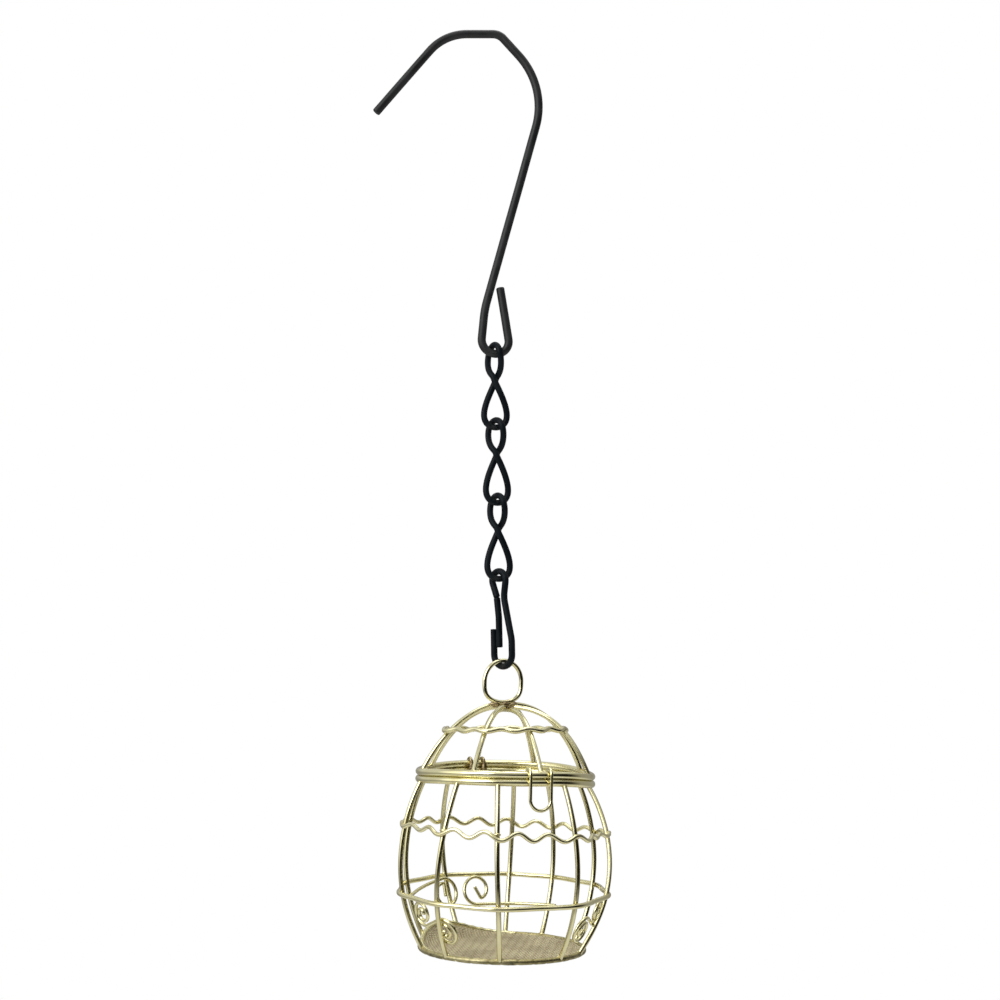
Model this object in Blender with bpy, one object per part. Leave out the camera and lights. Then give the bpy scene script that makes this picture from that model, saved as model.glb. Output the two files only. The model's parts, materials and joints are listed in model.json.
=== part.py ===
"""Hanging wire cage bird feeder.

A bent wire hook carries a chain of three figure-of-eight links, a snap clip and an egg-shaped wire cage.
The dome of the cage is a lid, hinged to the body at the back and latched at the front.
The origin is the inside of the hook's crown, where the feeder hangs. +Z is up and +X lies along the hook.
Sizes are in metres and angles in degrees. An azimuth is 0 at the front (-Y) and grows towards +X.
"""
import math
from functools import partial

import bmesh
import bpy
from mathutils import Vector

# Wires and fits
HOOK_WIRE = 0.0032
CHAIN_WIRE = 0.0024
CLIP_WIRE = 0.0025
RIM_WIRE = 0.0024
CAGE_WIRE = 0.0018
SCROLL_WIRE = 0.0013
FINE_WIRE = 0.0012
SEAT_GAP = 0.0003
LATCH_PLAY = 0.00025
LINK_PLAY = 0.0006

# Hook: bends from the tip to the foot of the shank, each at x, drop below the crown, bend radius
HOOK_BENDS = (
    (-0.0456, 0.0316, 0.0),
    (-0.0190, 0.0, 0.0187),
    (0.0024, 0.0, 0.0055),
    (0.0211, 0.0212, 0.0310),
    (-0.0032, 0.1095, 0.0380),
)
HOOK_DROP = 0.1267
EYE_OFFSET = 0.0010
EYE_INNER_RADIUS = 0.0035
EYE_CORNER = 1.15
EYE_LEFT_ROUNDNESS = 1.10
EYE_RIGHT_ROUNDNESS = 0.92
EYE_RETURN = 0.0258
EYE_RETURN_LEAN = 0.0041

# Chain links
LINK_LENGTH = 0.0343
LINK_NECK = 0.0137
UPPER_LOOP_INNER = 0.0054
LOWER_LOOP_INNER = 0.0063
LOWER_LOOP_FULLNESS = 0.75
LINK_TWIST = -80.0
TWIST_SHARPNESS = 3.0
CROSSING_SHARPNESS = 3
CHAIN_LEAN = -1.2
CHAIN_OFFSET = 0.0005
# Each link's name, its yaw, and whether it swings on its own top wire or on the wire that carries it
CHAIN_LINKS = (
    ("chain_link_upper", 16.0, False),
    ("chain_link_middle", 25.0, True),
    ("chain_link_lower", 22.0, False),
)

# Snap clip, in its own plane
CLIP_YAW = -44.0
CLIP_LENGTH = 0.0385
CLIP_TOP_INNER = 0.0044
CLIP_HOOK_INNER = 0.0067
CLIP_HOOK_OFFSET = 0.0014
CLIP_LOOP_TAPER = 0.0042
CLIP_NECK_DROP = 0.0100
CLIP_NECK_BEND = 0.0100
CLIP_NECK_LEFT = -0.0012
CLIP_NECK_RIGHT = 0.0024
CLIP_HOOK_DROP = 0.0260
CLIP_TIP_DROP = 0.0219
GATE_BEND_DROP = 0.0175
GATE_END_DROP = 0.0289
BOW_ROUNDNESS = 0.97

# Cage as a whole
CAGE_PITCH = -0.35
CAGE_LEAN = 1.2
CAGE_YAW = 21.5
AXIS_OFFSET = 0.0017

# Hanging ring
RING_INNER_WIDTH = 0.0130
RING_INNER_HEIGHT = 0.0125
RING_FLATNESS = 0.6

# Lid
LID_RADIUS = 0.0322
DOME_HEIGHT = 0.0220
DOME_FULLNESS = 2.75
DOME_SKEW = 0.25
CROWN_LIFT_POWER = 4
ARCH_AZIMUTHS = (("dome_arch_lower", 1.7, 179.0), ("dome_arch_upper", 94.5, 265.0))
DOME_BAR_AZIMUTHS = (50.5, 138.1, 220.5, 317.5)
DOME_WAVE_RISE = 0.0146
DOME_WAVE_TILT = 0.0008
DOME_WAVE_HIGH_AZIMUTH = 20.0
DOME_WAVES = 14
DOME_WAVE_SWING = 0.0004
DOME_WAVE_PHASE = 10.0
LATCH_AZIMUTH = 0.1
LATCH_LENGTH = 0.0124
LATCH_WIDTH = 0.0079
LATCH_WRAP = 145.0
HINGE_AZIMUTH = 179.6
HINGE_SPREAD = 0.0052

# Body
RING_SPACING = RIM_WIRE + SEAT_GAP
BODY_HEIGHT = 0.0624
BELLY_DROP = 0.0305
BELLY_RADIUS = 0.0394
BASE_RADIUS = 0.0301
BAR_AZIMUTHS = (
    (-93.0, -95.0),
    (-53.0, -62.0),
    (-26.3, -23.0),
    (18.6, 21.5),
    (89.0, 46.0),
    (100.5, 93.0),
    (129.1, 128.1),
    (152.2, 156.0),
    (199.8, 191.2),
    (226.5, 231.0),
)
WAIST_DROP = 0.0192
WAIST_TILT = 0.0021
WAIST_HIGH_AZIMUTH = -64.0
WAIST_WAVES = 21
WAIST_SWING = 0.00135
WAIST_PHASE = 125.0
LOWER_RING_DROP = 0.0419
LOWER_RING_TILT = 0.0010
LOWER_RING_LOW_AZIMUTH = -20.0
RING_TAUTNESS = 0.75

# Floor
FLOOR_THICKNESS = 0.0008
FLOOR_RIM = 0.0012
MESH_PITCH = 0.0042
MESH_STRAND = 0.0010
MESH_TURN = 35.0

# Scrolls on the wall below the lower ring
CURL_RADIUS = 0.0051
CURL_INNER = 0.0032
CURL_GROWTH = 2.2
CURL_EYE = 0.5
BACK_CURL_DROP = 0.0048
BACK_CURL_AZIMUTH = 175.2
BACK_CURL_ANGLES = (-62.0, 268.0)
BACK_TAIL = (0.0320, -0.0042)
BACK_LEFT_CURL_AZIMUTH = 197.5
BACK_LEFT_CURL_ANGLES = (90.0, 453.0)
BACK_LEFT_TAIL = (-0.0225, 0.0008)
SIDE_CURL_RADIUS = 0.0045
SIDE_CURL_INNER = 0.0021
SIDE_CURL_REACH = (0.0053, 0.0027)
SIDE_CURL_RISE = 0.0120
LEFT_SCROLL_AZIMUTH = -68.0
RIGHT_SCROLL_AZIMUTH = 47.0
SIDE_CURL_TURNS = 1.1

# Facets
ARC_STEP = 15.0
LINK_STEPS = 44
RING_STEPS = 48
WAVE_STEPS = 6
BAR_STEPS = 14
ARCH_STEPS = 12
CURL_STEP = 21.0
TAIL_STEPS = 5
SLOPE_STEP = 0.0001
CUTTER_HEIGHT = 0.0020
HEAVY_SIDES = 2
LIGHT_SIDES = 1


def material(name, colour, roughness, metallic):
    shader = bpy.data.materials.new(name)
    shader.use_nodes = True
    principled = shader.node_tree.nodes["Principled BSDF"]
    principled.inputs["Base Color"].default_value = (*colour, 1.0)
    principled.inputs["Roughness"].default_value = roughness
    principled.inputs["Metallic"].default_value = metallic
    return shader


def link_to_scene(thing, parent):
    bpy.context.scene.collection.objects.link(thing)
    thing.rotation_mode = "ZYX"
    thing.parent = parent
    return thing


def frame(name, place, pitch=0.0, lean=0.0, yaw=0.0, parent=None):
    """An empty that stands on a joint's axis."""
    empty = link_to_scene(bpy.data.objects.new(name, None), parent)
    empty.location = place
    empty.rotation_euler = (math.radians(pitch), math.radians(lean), math.radians(yaw))
    return empty


def wire(name, points, diameter, shader, parent, closed=False, sides=LIGHT_SIDES):
    """A round wire along the points, with flat cut ends."""
    curve = bpy.data.curves.new(name, "CURVE")
    curve.dimensions = "3D"
    curve.bevel_depth = diameter / 2
    curve.bevel_resolution = sides
    curve.use_fill_caps = not closed
    spline = curve.splines.new("POLY")
    spline.points.add(len(points) - 1)
    for spot, point in zip(spline.points, points):
        spot.co = (*point, 1.0)
    spline.use_cyclic_u = closed
    curve.materials.append(shader)
    return link_to_scene(bpy.data.objects.new(name, curve), parent)


def bend(corners):
    """Points of a wire in the XZ plane that is bent to a radius at each corner (x, z, radius)."""
    points = []
    for index, (x, z, radius) in enumerate(corners):
        corner = Vector((x, 0.0, z))
        if index in (0, len(corners) - 1):
            points.append(corner)
            continue
        before = corners[index - 1]
        after = corners[index + 1]
        back = (Vector((before[0], 0.0, before[1])) - corner).normalized()
        ahead = (Vector((after[0], 0.0, after[1])) - corner).normalized()
        turn = math.pi - back.angle(ahead)
        reach = radius * math.tan(turn / 2)
        centre = corner + (back + ahead).normalized() * radius / math.cos(turn / 2)
        first = corner + back * reach - centre
        last = corner + ahead * reach - centre
        steps = max(2, math.ceil(math.degrees(turn) / ARC_STEP))
        for step in range(steps + 1):
            share = step / steps
            mix = math.sin((1 - share) * turn) * first + math.sin(share * turn) * last
            points.append(centre + mix / math.sin(turn))
    return points


def shorten(points, length):
    """The points with this length of wire taken off the start."""
    rest = list(points)
    while (rest[1] - rest[0]).length <= length:
        length -= (rest[1] - rest[0]).length
        rest.pop(0)
    rest[0] = rest[0] + (rest[1] - rest[0]).normalized() * length
    return rest


def cut_back(points, clearance):
    """A bar cut at its start to clear the middle of the ring it runs to, even where it leans along the ring."""
    way = (points[1] - points[0]).normalized()
    lean = abs(way.dot(Vector((-points[0].y, points[0].x, 0.0)).normalized()))
    return shorten(points, (clearance + CAGE_WIRE / 2 * lean) / math.sqrt(1 - lean * lean))


def polar(azimuth, radius, height):
    angle = math.radians(azimuth)
    return Vector((radius * math.sin(angle), -radius * math.cos(angle), height))


def circle(radius, height):
    return [polar(360.0 * step / RING_STEPS, radius, height) for step in range(RING_STEPS)]


def dome_fullness(azimuth):
    """How square the dome's shoulder is: most at the right, least at the left."""
    return DOME_FULLNESS + DOME_SKEW * math.sin(math.radians(azimuth))


def dome_rise(azimuth, radius):
    """Height of the dome's bars above the lid ring, at a radius."""
    return DOME_HEIGHT * (1 - (radius / LID_RADIUS) ** dome_fullness(azimuth))


def dome_radius(azimuth, rise):
    """Radius of the dome's bars at a height above the lid ring."""
    return LID_RADIUS * (1 - rise / DOME_HEIGHT) ** (1 / dome_fullness(azimuth))


def dome_wave_rise(azimuth):
    """Height of the dome's wavy ring above the lid ring: it sits a little askew."""
    return DOME_WAVE_RISE + DOME_WAVE_TILT * math.cos(math.radians(azimuth - DOME_WAVE_HIGH_AZIMUTH))


def dome_leg_azimuths():
    """Azimuths of the arches' legs and the bars of the dome, in order round the lid."""
    legs = [azimuth for _, front, back in ARCH_AZIMUTHS for azimuth in (front, back)]
    return sorted(azimuth % 360.0 for azimuth in (*legs, *DOME_BAR_AZIMUTHS))


def waist_drop(azimuth):
    """Depth of the waist ring below the body's top ring: it sits a little askew."""
    return WAIST_DROP - WAIST_TILT * math.cos(math.radians(azimuth - WAIST_HIGH_AZIMUTH))


def lower_drop(azimuth):
    """Depth of the lower ring below the body's top ring: it hangs lowest at the front."""
    return LOWER_RING_DROP + LOWER_RING_TILT * math.cos(math.radians(azimuth - LOWER_RING_LOW_AZIMUTH))


def body_radius(drop):
    """Radius of the body's bars at a depth below the body's top ring."""
    if drop < BELLY_DROP:
        end, span = LID_RADIUS, BELLY_DROP
    else:
        end, span = BASE_RADIUS, BODY_HEIGHT - BELLY_DROP
    return BELLY_RADIUS - (BELLY_RADIUS - end) * ((drop - BELLY_DROP) / span) ** 2


def beside(profile, level, distance):
    """Radius at a square distance outside a profile, or inside it where the distance is negative."""
    slope = (profile(level + SLOPE_STEP) - profile(level - SLOPE_STEP)) / (2 * SLOPE_STEP)
    return profile(level) + distance * math.sqrt(1 + slope * slope)


def bar_azimuths(drop):
    """Azimuths of the body's bars at a depth below the body's top ring, in order round the cage."""
    share = drop / BODY_HEIGHT
    return sorted((top + share * (bottom - top)) % 360.0 for top, bottom in BAR_AZIMUTHS)


def drawn_in(azimuth, stands, radius):
    """How far a ring is drawn in between two of the bars that it goes round, which stand at these azimuths."""
    for low, high in zip(stands, stands[1:] + [stands[0] + 360.0]):
        past = (azimuth - low) % 360.0
        if past < high - low:
            depth = radius * (1 - math.cos(math.radians(high - low) / 2))
            return RING_TAUTNESS * depth * math.sin(math.pi * past / (high - low)) ** 2
    return 0.0


def waves_round(waves, swing, phase):
    """Azimuths round a wavy ring, each with the wave's height there."""
    steps = waves * WAVE_STEPS
    azimuths = [360.0 * step / steps for step in range(steps)]
    return [(azimuth, swing * math.cos(math.radians(waves * azimuth + phase))) for azimuth in azimuths]


def round_bars(spots):
    """A ring outside the body's bars, through each azimuth at its depth below the body's top ring."""
    points = []
    for azimuth, drop in spots:
        sag = drawn_in(azimuth, bar_azimuths(drop), body_radius(drop))
        radius = beside(body_radius, drop, CAGE_WIRE + SEAT_GAP) - sag
        points.append(polar(azimuth, radius, -drop))
    return points


def hanger_hook(shader):
    """One bent wire: a wide hook on top, a long shank and a narrow eye at the foot."""
    crown = HOOK_WIRE / 2
    eye = EYE_INNER_RADIUS + HOOK_WIRE / 2
    left = EYE_OFFSET - EYE_CORNER * eye
    right = EYE_OFFSET + EYE_CORNER * eye
    corners = [(x, crown - drop, radius) for x, drop, radius in HOOK_BENDS]
    corners += [(left, crown - HOOK_DROP, EYE_LEFT_ROUNDNESS * eye)]
    corners += [(right, crown - HOOK_DROP, EYE_RIGHT_ROUNDNESS * eye)]
    corners += [(right - EYE_RETURN_LEAN, crown - HOOK_DROP + EYE_RETURN, 0.0)]
    return wire("hanger_hook", bend(corners), HOOK_WIRE, shader, None, sides=HEAVY_SIDES)


def link_points():
    """One figure of eight, from the middle of its top wire: the two loops stand at an angle."""
    upper_width = (UPPER_LOOP_INNER + CHAIN_WIRE) / 2
    lower_width = (LOWER_LOOP_INNER + CHAIN_WIRE) / 2
    upper_height = LINK_NECK - CHAIN_WIRE / 2
    lower_height = LINK_LENGTH - LINK_NECK - CHAIN_WIRE / 2
    twist = math.radians(LINK_TWIST)
    spread = CHAIN_WIRE / 2 + SEAT_GAP
    points = []
    for step in range(LINK_STEPS):
        angle = 2 * math.pi * step / LINK_STEPS
        level = math.cos(angle)
        height = upper_height
        width = upper_width
        if level < 0:
            level = -((-level) ** LOWER_LOOP_FULLNESS)
            height = lower_height
            width = lower_width
        blend = (1 + math.tanh(TWIST_SHARPNESS * level)) / 2
        yaw = twist * blend
        across = width * math.sin(2 * angle)
        past = spread * math.sin(angle) ** CROSSING_SHARPNESS
        x = across * math.cos(yaw) - past * math.sin(yaw)
        y = across * math.sin(yaw) + past * math.cos(yaw)
        points.append(Vector((x, y, height * level - upper_height)))
    return points


def chain(hook, shader):
    """Three links, each hung in the one above; returns the middle of the last link's bottom wire."""
    lean = math.radians(CHAIN_LEAN)
    down = Vector((-math.sin(lean), 0.0, -math.cos(lean)))
    pivot = Vector((CHAIN_OFFSET, 0.0, HOOK_WIRE / 2 - HOOK_DROP))
    carrier = HOOK_WIRE
    for name, yaw, on_own_wire in CHAIN_LINKS:
        rise = (carrier + CHAIN_WIRE) / 2 + LINK_PLAY
        top = pivot - down * rise
        swing = frame(name + "_swing", top if on_own_wire else pivot, 0.0, CHAIN_LEAN, yaw, hook)
        offset = Vector((0.0, 0.0, 0.0 if on_own_wire else rise))
        points = [point + offset for point in link_points()]
        wire(name, points, CHAIN_WIRE, shader, swing, closed=True, sides=HEAVY_SIDES)
        pivot = pivot + down * (LINK_LENGTH - CHAIN_WIRE - rise)
        carrier = CHAIN_WIRE
    return pivot


def snap_clip(pivot, hook, shader):
    """The clip, hung on its own top wire, and its gate; returns the middle of the clip's bottom wire."""
    lean = math.radians(CHAIN_LEAN)
    rise = (CHAIN_WIRE + CLIP_WIRE) / 2 + LINK_PLAY
    top = pivot + rise * Vector((math.sin(lean), 0.0, math.cos(lean)))
    swing = frame("snap_clip_swing", top, 0.0, CHAIN_LEAN, CLIP_YAW, hook)
    loop = (CLIP_TOP_INNER + CLIP_WIRE) / 2
    bow = (CLIP_HOOK_INNER + CLIP_WIRE) / 2
    bottom = CLIP_LENGTH - CLIP_WIRE
    loop_bend = BOW_ROUNDNESS * loop
    bow_bend = BOW_ROUNDNESS * bow
    tip = CLIP_HOOK_OFFSET - bow
    corners = (
        (CLIP_NECK_LEFT, -CLIP_NECK_DROP, 0.0),
        (-loop, -CLIP_LOOP_TAPER, loop),
        (-loop, 0.0, loop_bend),
        (loop, 0.0, loop_bend),
        (loop, -CLIP_LOOP_TAPER, loop),
        (CLIP_NECK_RIGHT, -CLIP_NECK_DROP, CLIP_NECK_BEND),
        (CLIP_HOOK_OFFSET + bow, -CLIP_HOOK_DROP, CLIP_NECK_BEND),
        (CLIP_HOOK_OFFSET + bow, -bottom, bow_bend),
        (tip, -bottom, bow_bend),
        (tip, -CLIP_TIP_DROP, 0.0),
    )
    wire("snap_clip", bend(corners), CLIP_WIRE, shader, swing, sides=HEAVY_SIDES)
    gate_top = CLIP_NECK_DROP + LINK_PLAY
    gate_line = tip + CLIP_WIRE + SEAT_GAP - CLIP_NECK_LEFT
    gate_corners = (
        (0.0, 0.0, 0.0),
        (gate_line, gate_top - GATE_BEND_DROP, CLIP_NECK_BEND),
        (gate_line, gate_top - GATE_END_DROP, 0.0),
    )
    gate = wire("snap_clip_gate", bend(gate_corners), CLIP_WIRE, shader, swing, sides=HEAVY_SIDES)
    gate.location = (CLIP_NECK_LEFT, 0.0, -gate_top)
    bpy.context.view_layer.update()
    return swing.matrix_world @ Vector((CLIP_HOOK_OFFSET, 0.0, -bottom))


def hanging_ring(lid, top, shader):
    """An upright ring with a flattened foot on the dome."""
    width = (RING_INNER_WIDTH + CAGE_WIRE) / 2
    height = (RING_INNER_HEIGHT + CAGE_WIRE) / 2
    points = []
    for step in range(RING_STEPS):
        angle = 2 * math.pi * step / RING_STEPS
        level = math.cos(angle)
        if level < 0:
            level = -((-level) ** RING_FLATNESS)
        points.append(Vector((width * math.sin(angle), 0.0, top - height + height * level)))
    wire("hanging_ring", points, CAGE_WIRE, shader, lid, closed=True)


def dome_leg(azimuth, lift, end_radius):
    """One leg of the dome, from the lid ring up to a radius near the top, where it lifts over the others."""
    points = []
    for step in range(ARCH_STEPS + 1):
        share = step / ARCH_STEPS
        radius = (1 - share) * LID_RADIUS + share * end_radius
        raised = lift * (1 - (radius / LID_RADIUS) ** 2) ** CROWN_LIFT_POWER
        points.append(polar(azimuth, radius, dome_rise(azimuth, radius) + raised))
    return shorten(points, RIM_WIRE / 2 + SEAT_GAP)


def dome(axis, shader):
    """Two arches that cross over the top, four bars between them, and the wavy ring round them."""
    layer = CAGE_WIRE + SEAT_GAP
    arch_azimuths = [azimuth for _, front, back in ARCH_AZIMUTHS for azimuth in (front, back, front + 360.0)]
    for index, (name, front, back) in enumerate(ARCH_AZIMUTHS):
        over = dome_leg(back, index * layer, 0.0)[::-1][1:]
        wire(name, dome_leg(front, index * layer, 0.0) + over, CAGE_WIRE, shader, axis)
    for index, azimuth in enumerate(DOME_BAR_AZIMUTHS):
        nearest = min(abs(azimuth - other) for other in arch_azimuths)
        end = layer / math.sin(math.radians(nearest))
        points = dome_leg(azimuth, layer / 2, end)
        wire(f"dome_bar_{index + 1}", points, CAGE_WIRE, shader, axis)
    ring = []
    for azimuth, wave in waves_round(DOME_WAVES, DOME_WAVE_SWING, DOME_WAVE_PHASE):
        profile = partial(dome_radius, azimuth)
        rise = dome_wave_rise(azimuth) + wave
        sag = drawn_in(azimuth, dome_leg_azimuths(), profile(rise))
        ring.append(polar(azimuth, beside(profile, rise, layer) - sag, rise))
    wire("dome_wave_ring", ring, CAGE_WIRE, shader, axis, closed=True)


def rim_frame(name, azimuth, half_width, parent):
    """An empty on the lid ring, on the chord through two points half_width either side of an azimuth."""
    reach = math.sqrt(LID_RADIUS ** 2 - half_width ** 2)
    return frame(name, polar(azimuth, reach, 0.0), yaw=azimuth, parent=parent)


def lid_latch(axis, shader):
    """A U of wire whose two ends curl over the lid ring."""
    half = LATCH_WIDTH / 2
    eye = (RIM_WIRE + FINE_WIRE) / 2 + LATCH_PLAY
    swing = rim_frame("lid_latch_swing", LATCH_AZIMUTH, half, axis)
    steps = math.ceil(LATCH_WRAP / ARC_STEP)
    curl = []
    for step in range(steps + 1):
        angle = math.radians(LATCH_WRAP * (1 - step / steps))
        curl.append(Vector((-half, -eye * math.cos(angle), eye * math.sin(angle))))
    turns = math.ceil(180.0 / ARC_STEP)
    foot = []
    for step in range(turns + 1):
        angle = math.pi * step / turns
        foot.append(Vector((-half * math.cos(angle), -eye, half - LATCH_LENGTH - half * math.sin(angle))))
    other = [Vector((-point.x, point.y, point.z)) for point in curl[::-1]]
    wire("lid_latch", curl + foot + other, FINE_WIRE, shader, swing)


def hinge_loops(body, shader):
    """Two long loops at the back, each round the lid ring and the body ring."""
    eye = (RIM_WIRE + FINE_WIRE) / 2 + SEAT_GAP
    steps = math.ceil(180.0 / ARC_STEP)
    for name, side in (("hinge_loop_left", -1), ("hinge_loop_right", 1)):
        points = []
        for step in range(2 * steps + 2):
            half_turn, share = divmod(step, steps + 1)
            angle = math.pi * (half_turn + share / steps)
            level = eye * math.sin(angle) - half_turn * RING_SPACING
            points.append(Vector((side * HINGE_SPREAD / 2, eye * math.cos(angle), level)))
        wire(name, points, FINE_WIRE, shader, body, closed=True)


def body_cage(axis, shader):
    """The body's rings and its ten bowed bars, below the level of its top ring."""
    wire("body_top_ring", circle(LID_RADIUS, 0.0), RIM_WIRE, shader, axis, closed=True)
    wire("base_ring", circle(BASE_RADIUS, -BODY_HEIGHT), CAGE_WIRE, shader, axis, closed=True)
    azimuths = [360.0 * step / RING_STEPS for step in range(RING_STEPS)]
    lower = [(azimuth, lower_drop(azimuth)) for azimuth in azimuths]
    wire("lower_ring", round_bars(lower), CAGE_WIRE, shader, axis, closed=True)
    waves = waves_round(WAIST_WAVES, WAIST_SWING, WAIST_PHASE)
    waist = [(azimuth, waist_drop(azimuth) + wave) for azimuth, wave in waves]
    wire("waist_wave_ring", round_bars(waist), CAGE_WIRE, shader, axis, closed=True)
    for index, (top, bottom) in enumerate(BAR_AZIMUTHS):
        points = []
        for step in range(BAR_STEPS + 1):
            share = step / BAR_STEPS
            drop = share * BODY_HEIGHT
            points.append(polar(top + share * (bottom - top), body_radius(drop), -drop))
        points = cut_back(points, RIM_WIRE / 2 + SEAT_GAP)
        points = cut_back(points[::-1], CAGE_WIRE / 2 + SEAT_GAP)[::-1]
        wire(f"body_bar_{index + 1:02d}", points, CAGE_WIRE, shader, axis)


def spiral(centre, inner, outer, start, end):
    """A spiral that opens counterclockwise from an inner radius to an outer one."""
    steps = math.ceil((end - start) / CURL_STEP)
    points = []
    for step in range(steps + 1):
        share = step / steps
        angle = math.radians(start + share * (end - start))
        radius = inner + (outer - inner) * min(1.0, CURL_GROWTH * share)
        points.append(centre + Vector((radius * math.cos(angle), radius * math.sin(angle))))
    return points


def tail_scroll(angles, tail):
    """A curl about its own centre that runs out into a long tail."""
    curl = spiral(Vector((0.0, 0.0)), CURL_INNER, CURL_RADIUS, *angles)
    along = [curl[-1].lerp(Vector(tail), (step + 1) / TAIL_STEPS) for step in range(TAIL_STEPS)]
    return [curl[0] * -CURL_EYE] + curl + along


def side_scroll(mirror):
    """An S of two equal curls."""
    upper = Vector((-SIDE_CURL_REACH[0], SIDE_CURL_REACH[1]))
    lean = math.atan2(-2 * upper.y, -2 * upper.x)
    leave = math.degrees(lean + math.asin(SIDE_CURL_RADIUS / upper.length)) - 90.0
    start = leave - 360.0 * SIDE_CURL_TURNS
    curl = spiral(upper, SIDE_CURL_INNER, SIDE_CURL_RADIUS, start, leave)
    points = curl + [-point for point in curl[::-1]]
    return [Vector((mirror * point.x, point.y)) for point in points]


def on_wall(points, azimuth, drop, sense):
    """Flat scroll points laid on the inside of the bars, about a centre below the body's top ring."""
    inset = (CAGE_WIRE + SCROLL_WIRE) / 2 + SEAT_GAP
    laid = []
    for point in points:
        level = drop - point.y
        radius = beside(body_radius, level, -inset)
        laid.append(polar(azimuth + sense * math.degrees(point.x / radius), radius, -level))
    return laid


def scrolls(axis, shader):
    """Four curled ornaments inside the bars, seen from inside at the back and from outside at the sides."""
    back = tail_scroll(BACK_CURL_ANGLES, BACK_TAIL)
    back_left = tail_scroll(BACK_LEFT_CURL_ANGLES, BACK_LEFT_TAIL)
    back_drop = LOWER_RING_DROP + BACK_CURL_DROP
    side_drop = BODY_HEIGHT - SIDE_CURL_RISE
    shapes = (
        ("scroll_back", back, BACK_CURL_AZIMUTH, back_drop, -1),
        ("scroll_back_left", back_left, BACK_LEFT_CURL_AZIMUTH, back_drop, -1),
        ("scroll_left", side_scroll(1), LEFT_SCROLL_AZIMUTH, side_drop, 1),
        ("scroll_right", side_scroll(-1), RIGHT_SCROLL_AZIMUTH, side_drop, 1),
    )
    for name, points, azimuth, drop, sense in shapes:
        wire(name, on_wall(points, azimuth, drop, sense), SCROLL_WIRE, shader, axis)


def prism(name, outlines, thickness, parent):
    """Upright prisms on flat outlines, centred on the plane of the outlines."""
    shape = bmesh.new()
    for outline in outlines:
        bottom = [shape.verts.new((x, y, -thickness / 2)) for x, y in outline]
        top = [shape.verts.new((x, y, thickness / 2)) for x, y in outline]
        shape.faces.new(bottom[::-1])
        shape.faces.new(top)
        for index in range(len(outline)):
            after = (index + 1) % len(outline)
            shape.faces.new((bottom[index], bottom[after], top[after], top[index]))
    mesh = bpy.data.meshes.new(name)
    shape.to_mesh(mesh)
    shape.free()
    return link_to_scene(bpy.data.objects.new(name, mesh), parent)


def cutter(thing):
    thing.hide_render = True
    thing.display_type = "WIRE"
    return thing


def boolean(thing, other, operation):
    step = thing.modifiers.new(other.name, "BOOLEAN")
    step.operation = operation
    step.object = other


def floor_mesh(axis, shader):
    """A round net inside the base ring: a disc with square gaps, and a plain rim."""
    radius = BASE_RADIUS - CAGE_WIRE / 2 - SEAT_GAP
    inner = radius - FLOOR_RIM
    gap = (MESH_PITCH - MESH_STRAND) / 2
    reach = math.ceil(inner / MESH_PITCH)
    turn = math.radians(MESH_TURN)
    gaps = []
    for row in range(-reach, reach):
        for column in range(-reach, reach):
            centre = Vector(((column + 0.5) * MESH_PITCH, (row + 0.5) * MESH_PITCH))
            if centre.length > inner:
                continue
            square = ((-gap, -gap), (gap, -gap), (gap, gap), (-gap, gap))
            corners = [centre + Vector(corner) for corner in square]
            spun = [(c.x * math.cos(turn) - c.y * math.sin(turn), c.x * math.sin(turn) + c.y * math.cos(turn))
                    for c in corners]
            gaps.append(spun)
    disc = [polar(360.0 * step / RING_STEPS, radius, 0.0).xy for step in range(RING_STEPS)]
    bound = [polar(360.0 * step / RING_STEPS, inner, 0.0).xy for step in range(RING_STEPS)]
    floor = prism("floor_mesh", [disc], FLOOR_THICKNESS, axis)
    limit = cutter(prism("mesh_limit", [bound], FLOOR_THICKNESS + 2 * CUTTER_HEIGHT, axis))
    holes = cutter(prism("mesh_gaps", gaps, FLOOR_THICKNESS + CUTTER_HEIGHT, axis))
    boolean(holes, limit, "INTERSECT")
    boolean(floor, holes, "DIFFERENCE")
    for thing in (floor, limit, holes):
        thing.location.z = -BODY_HEIGHT
    floor.data.materials.append(shader)


def main():
    for thing in list(bpy.data.objects):
        bpy.data.objects.remove(thing)
    black = material("black_coated_wire", (0.012, 0.013, 0.016), 0.42, 0.0)
    brass = material("pale_brass_wire", (0.72, 0.62, 0.33), 0.22, 1.0)
    mesh_brass = material("mesh_brass_wire", (0.55, 0.46, 0.28), 0.38, 1.0)

    hook = hanger_hook(black)
    clip_pivot = chain(hook, black)
    ring_pivot = snap_clip(clip_pivot, hook, black)

    ring_top = (CLIP_WIRE + CAGE_WIRE) / 2 + SEAT_GAP
    ring_foot = ring_top - RING_INNER_HEIGHT - CAGE_WIRE
    lid = frame("lid_swing", ring_pivot, CAGE_PITCH, CAGE_LEAN, CAGE_YAW)
    hanging_ring(lid, ring_top, brass)
    lid_level = ring_foot - 2 * (CAGE_WIRE + SEAT_GAP) - DOME_HEIGHT
    lid_axis = frame("lid_axis", (AXIS_OFFSET, 0.0, lid_level), parent=lid)
    wire("lid_ring", circle(LID_RADIUS, 0.0), RIM_WIRE, brass, lid_axis, closed=True)
    dome(lid_axis, brass)
    lid_latch(lid_axis, brass)

    hinge = rim_frame("body_swing", HINGE_AZIMUTH, HINGE_SPREAD / 2, lid_axis)
    hinge_loops(hinge, brass)
    body_axis = frame("body_axis", (0.0, 0.0, -RING_SPACING), parent=lid_axis)
    body_cage(body_axis, brass)
    scrolls(body_axis, brass)
    floor_mesh(body_axis, mesh_brass)


main()
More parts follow.
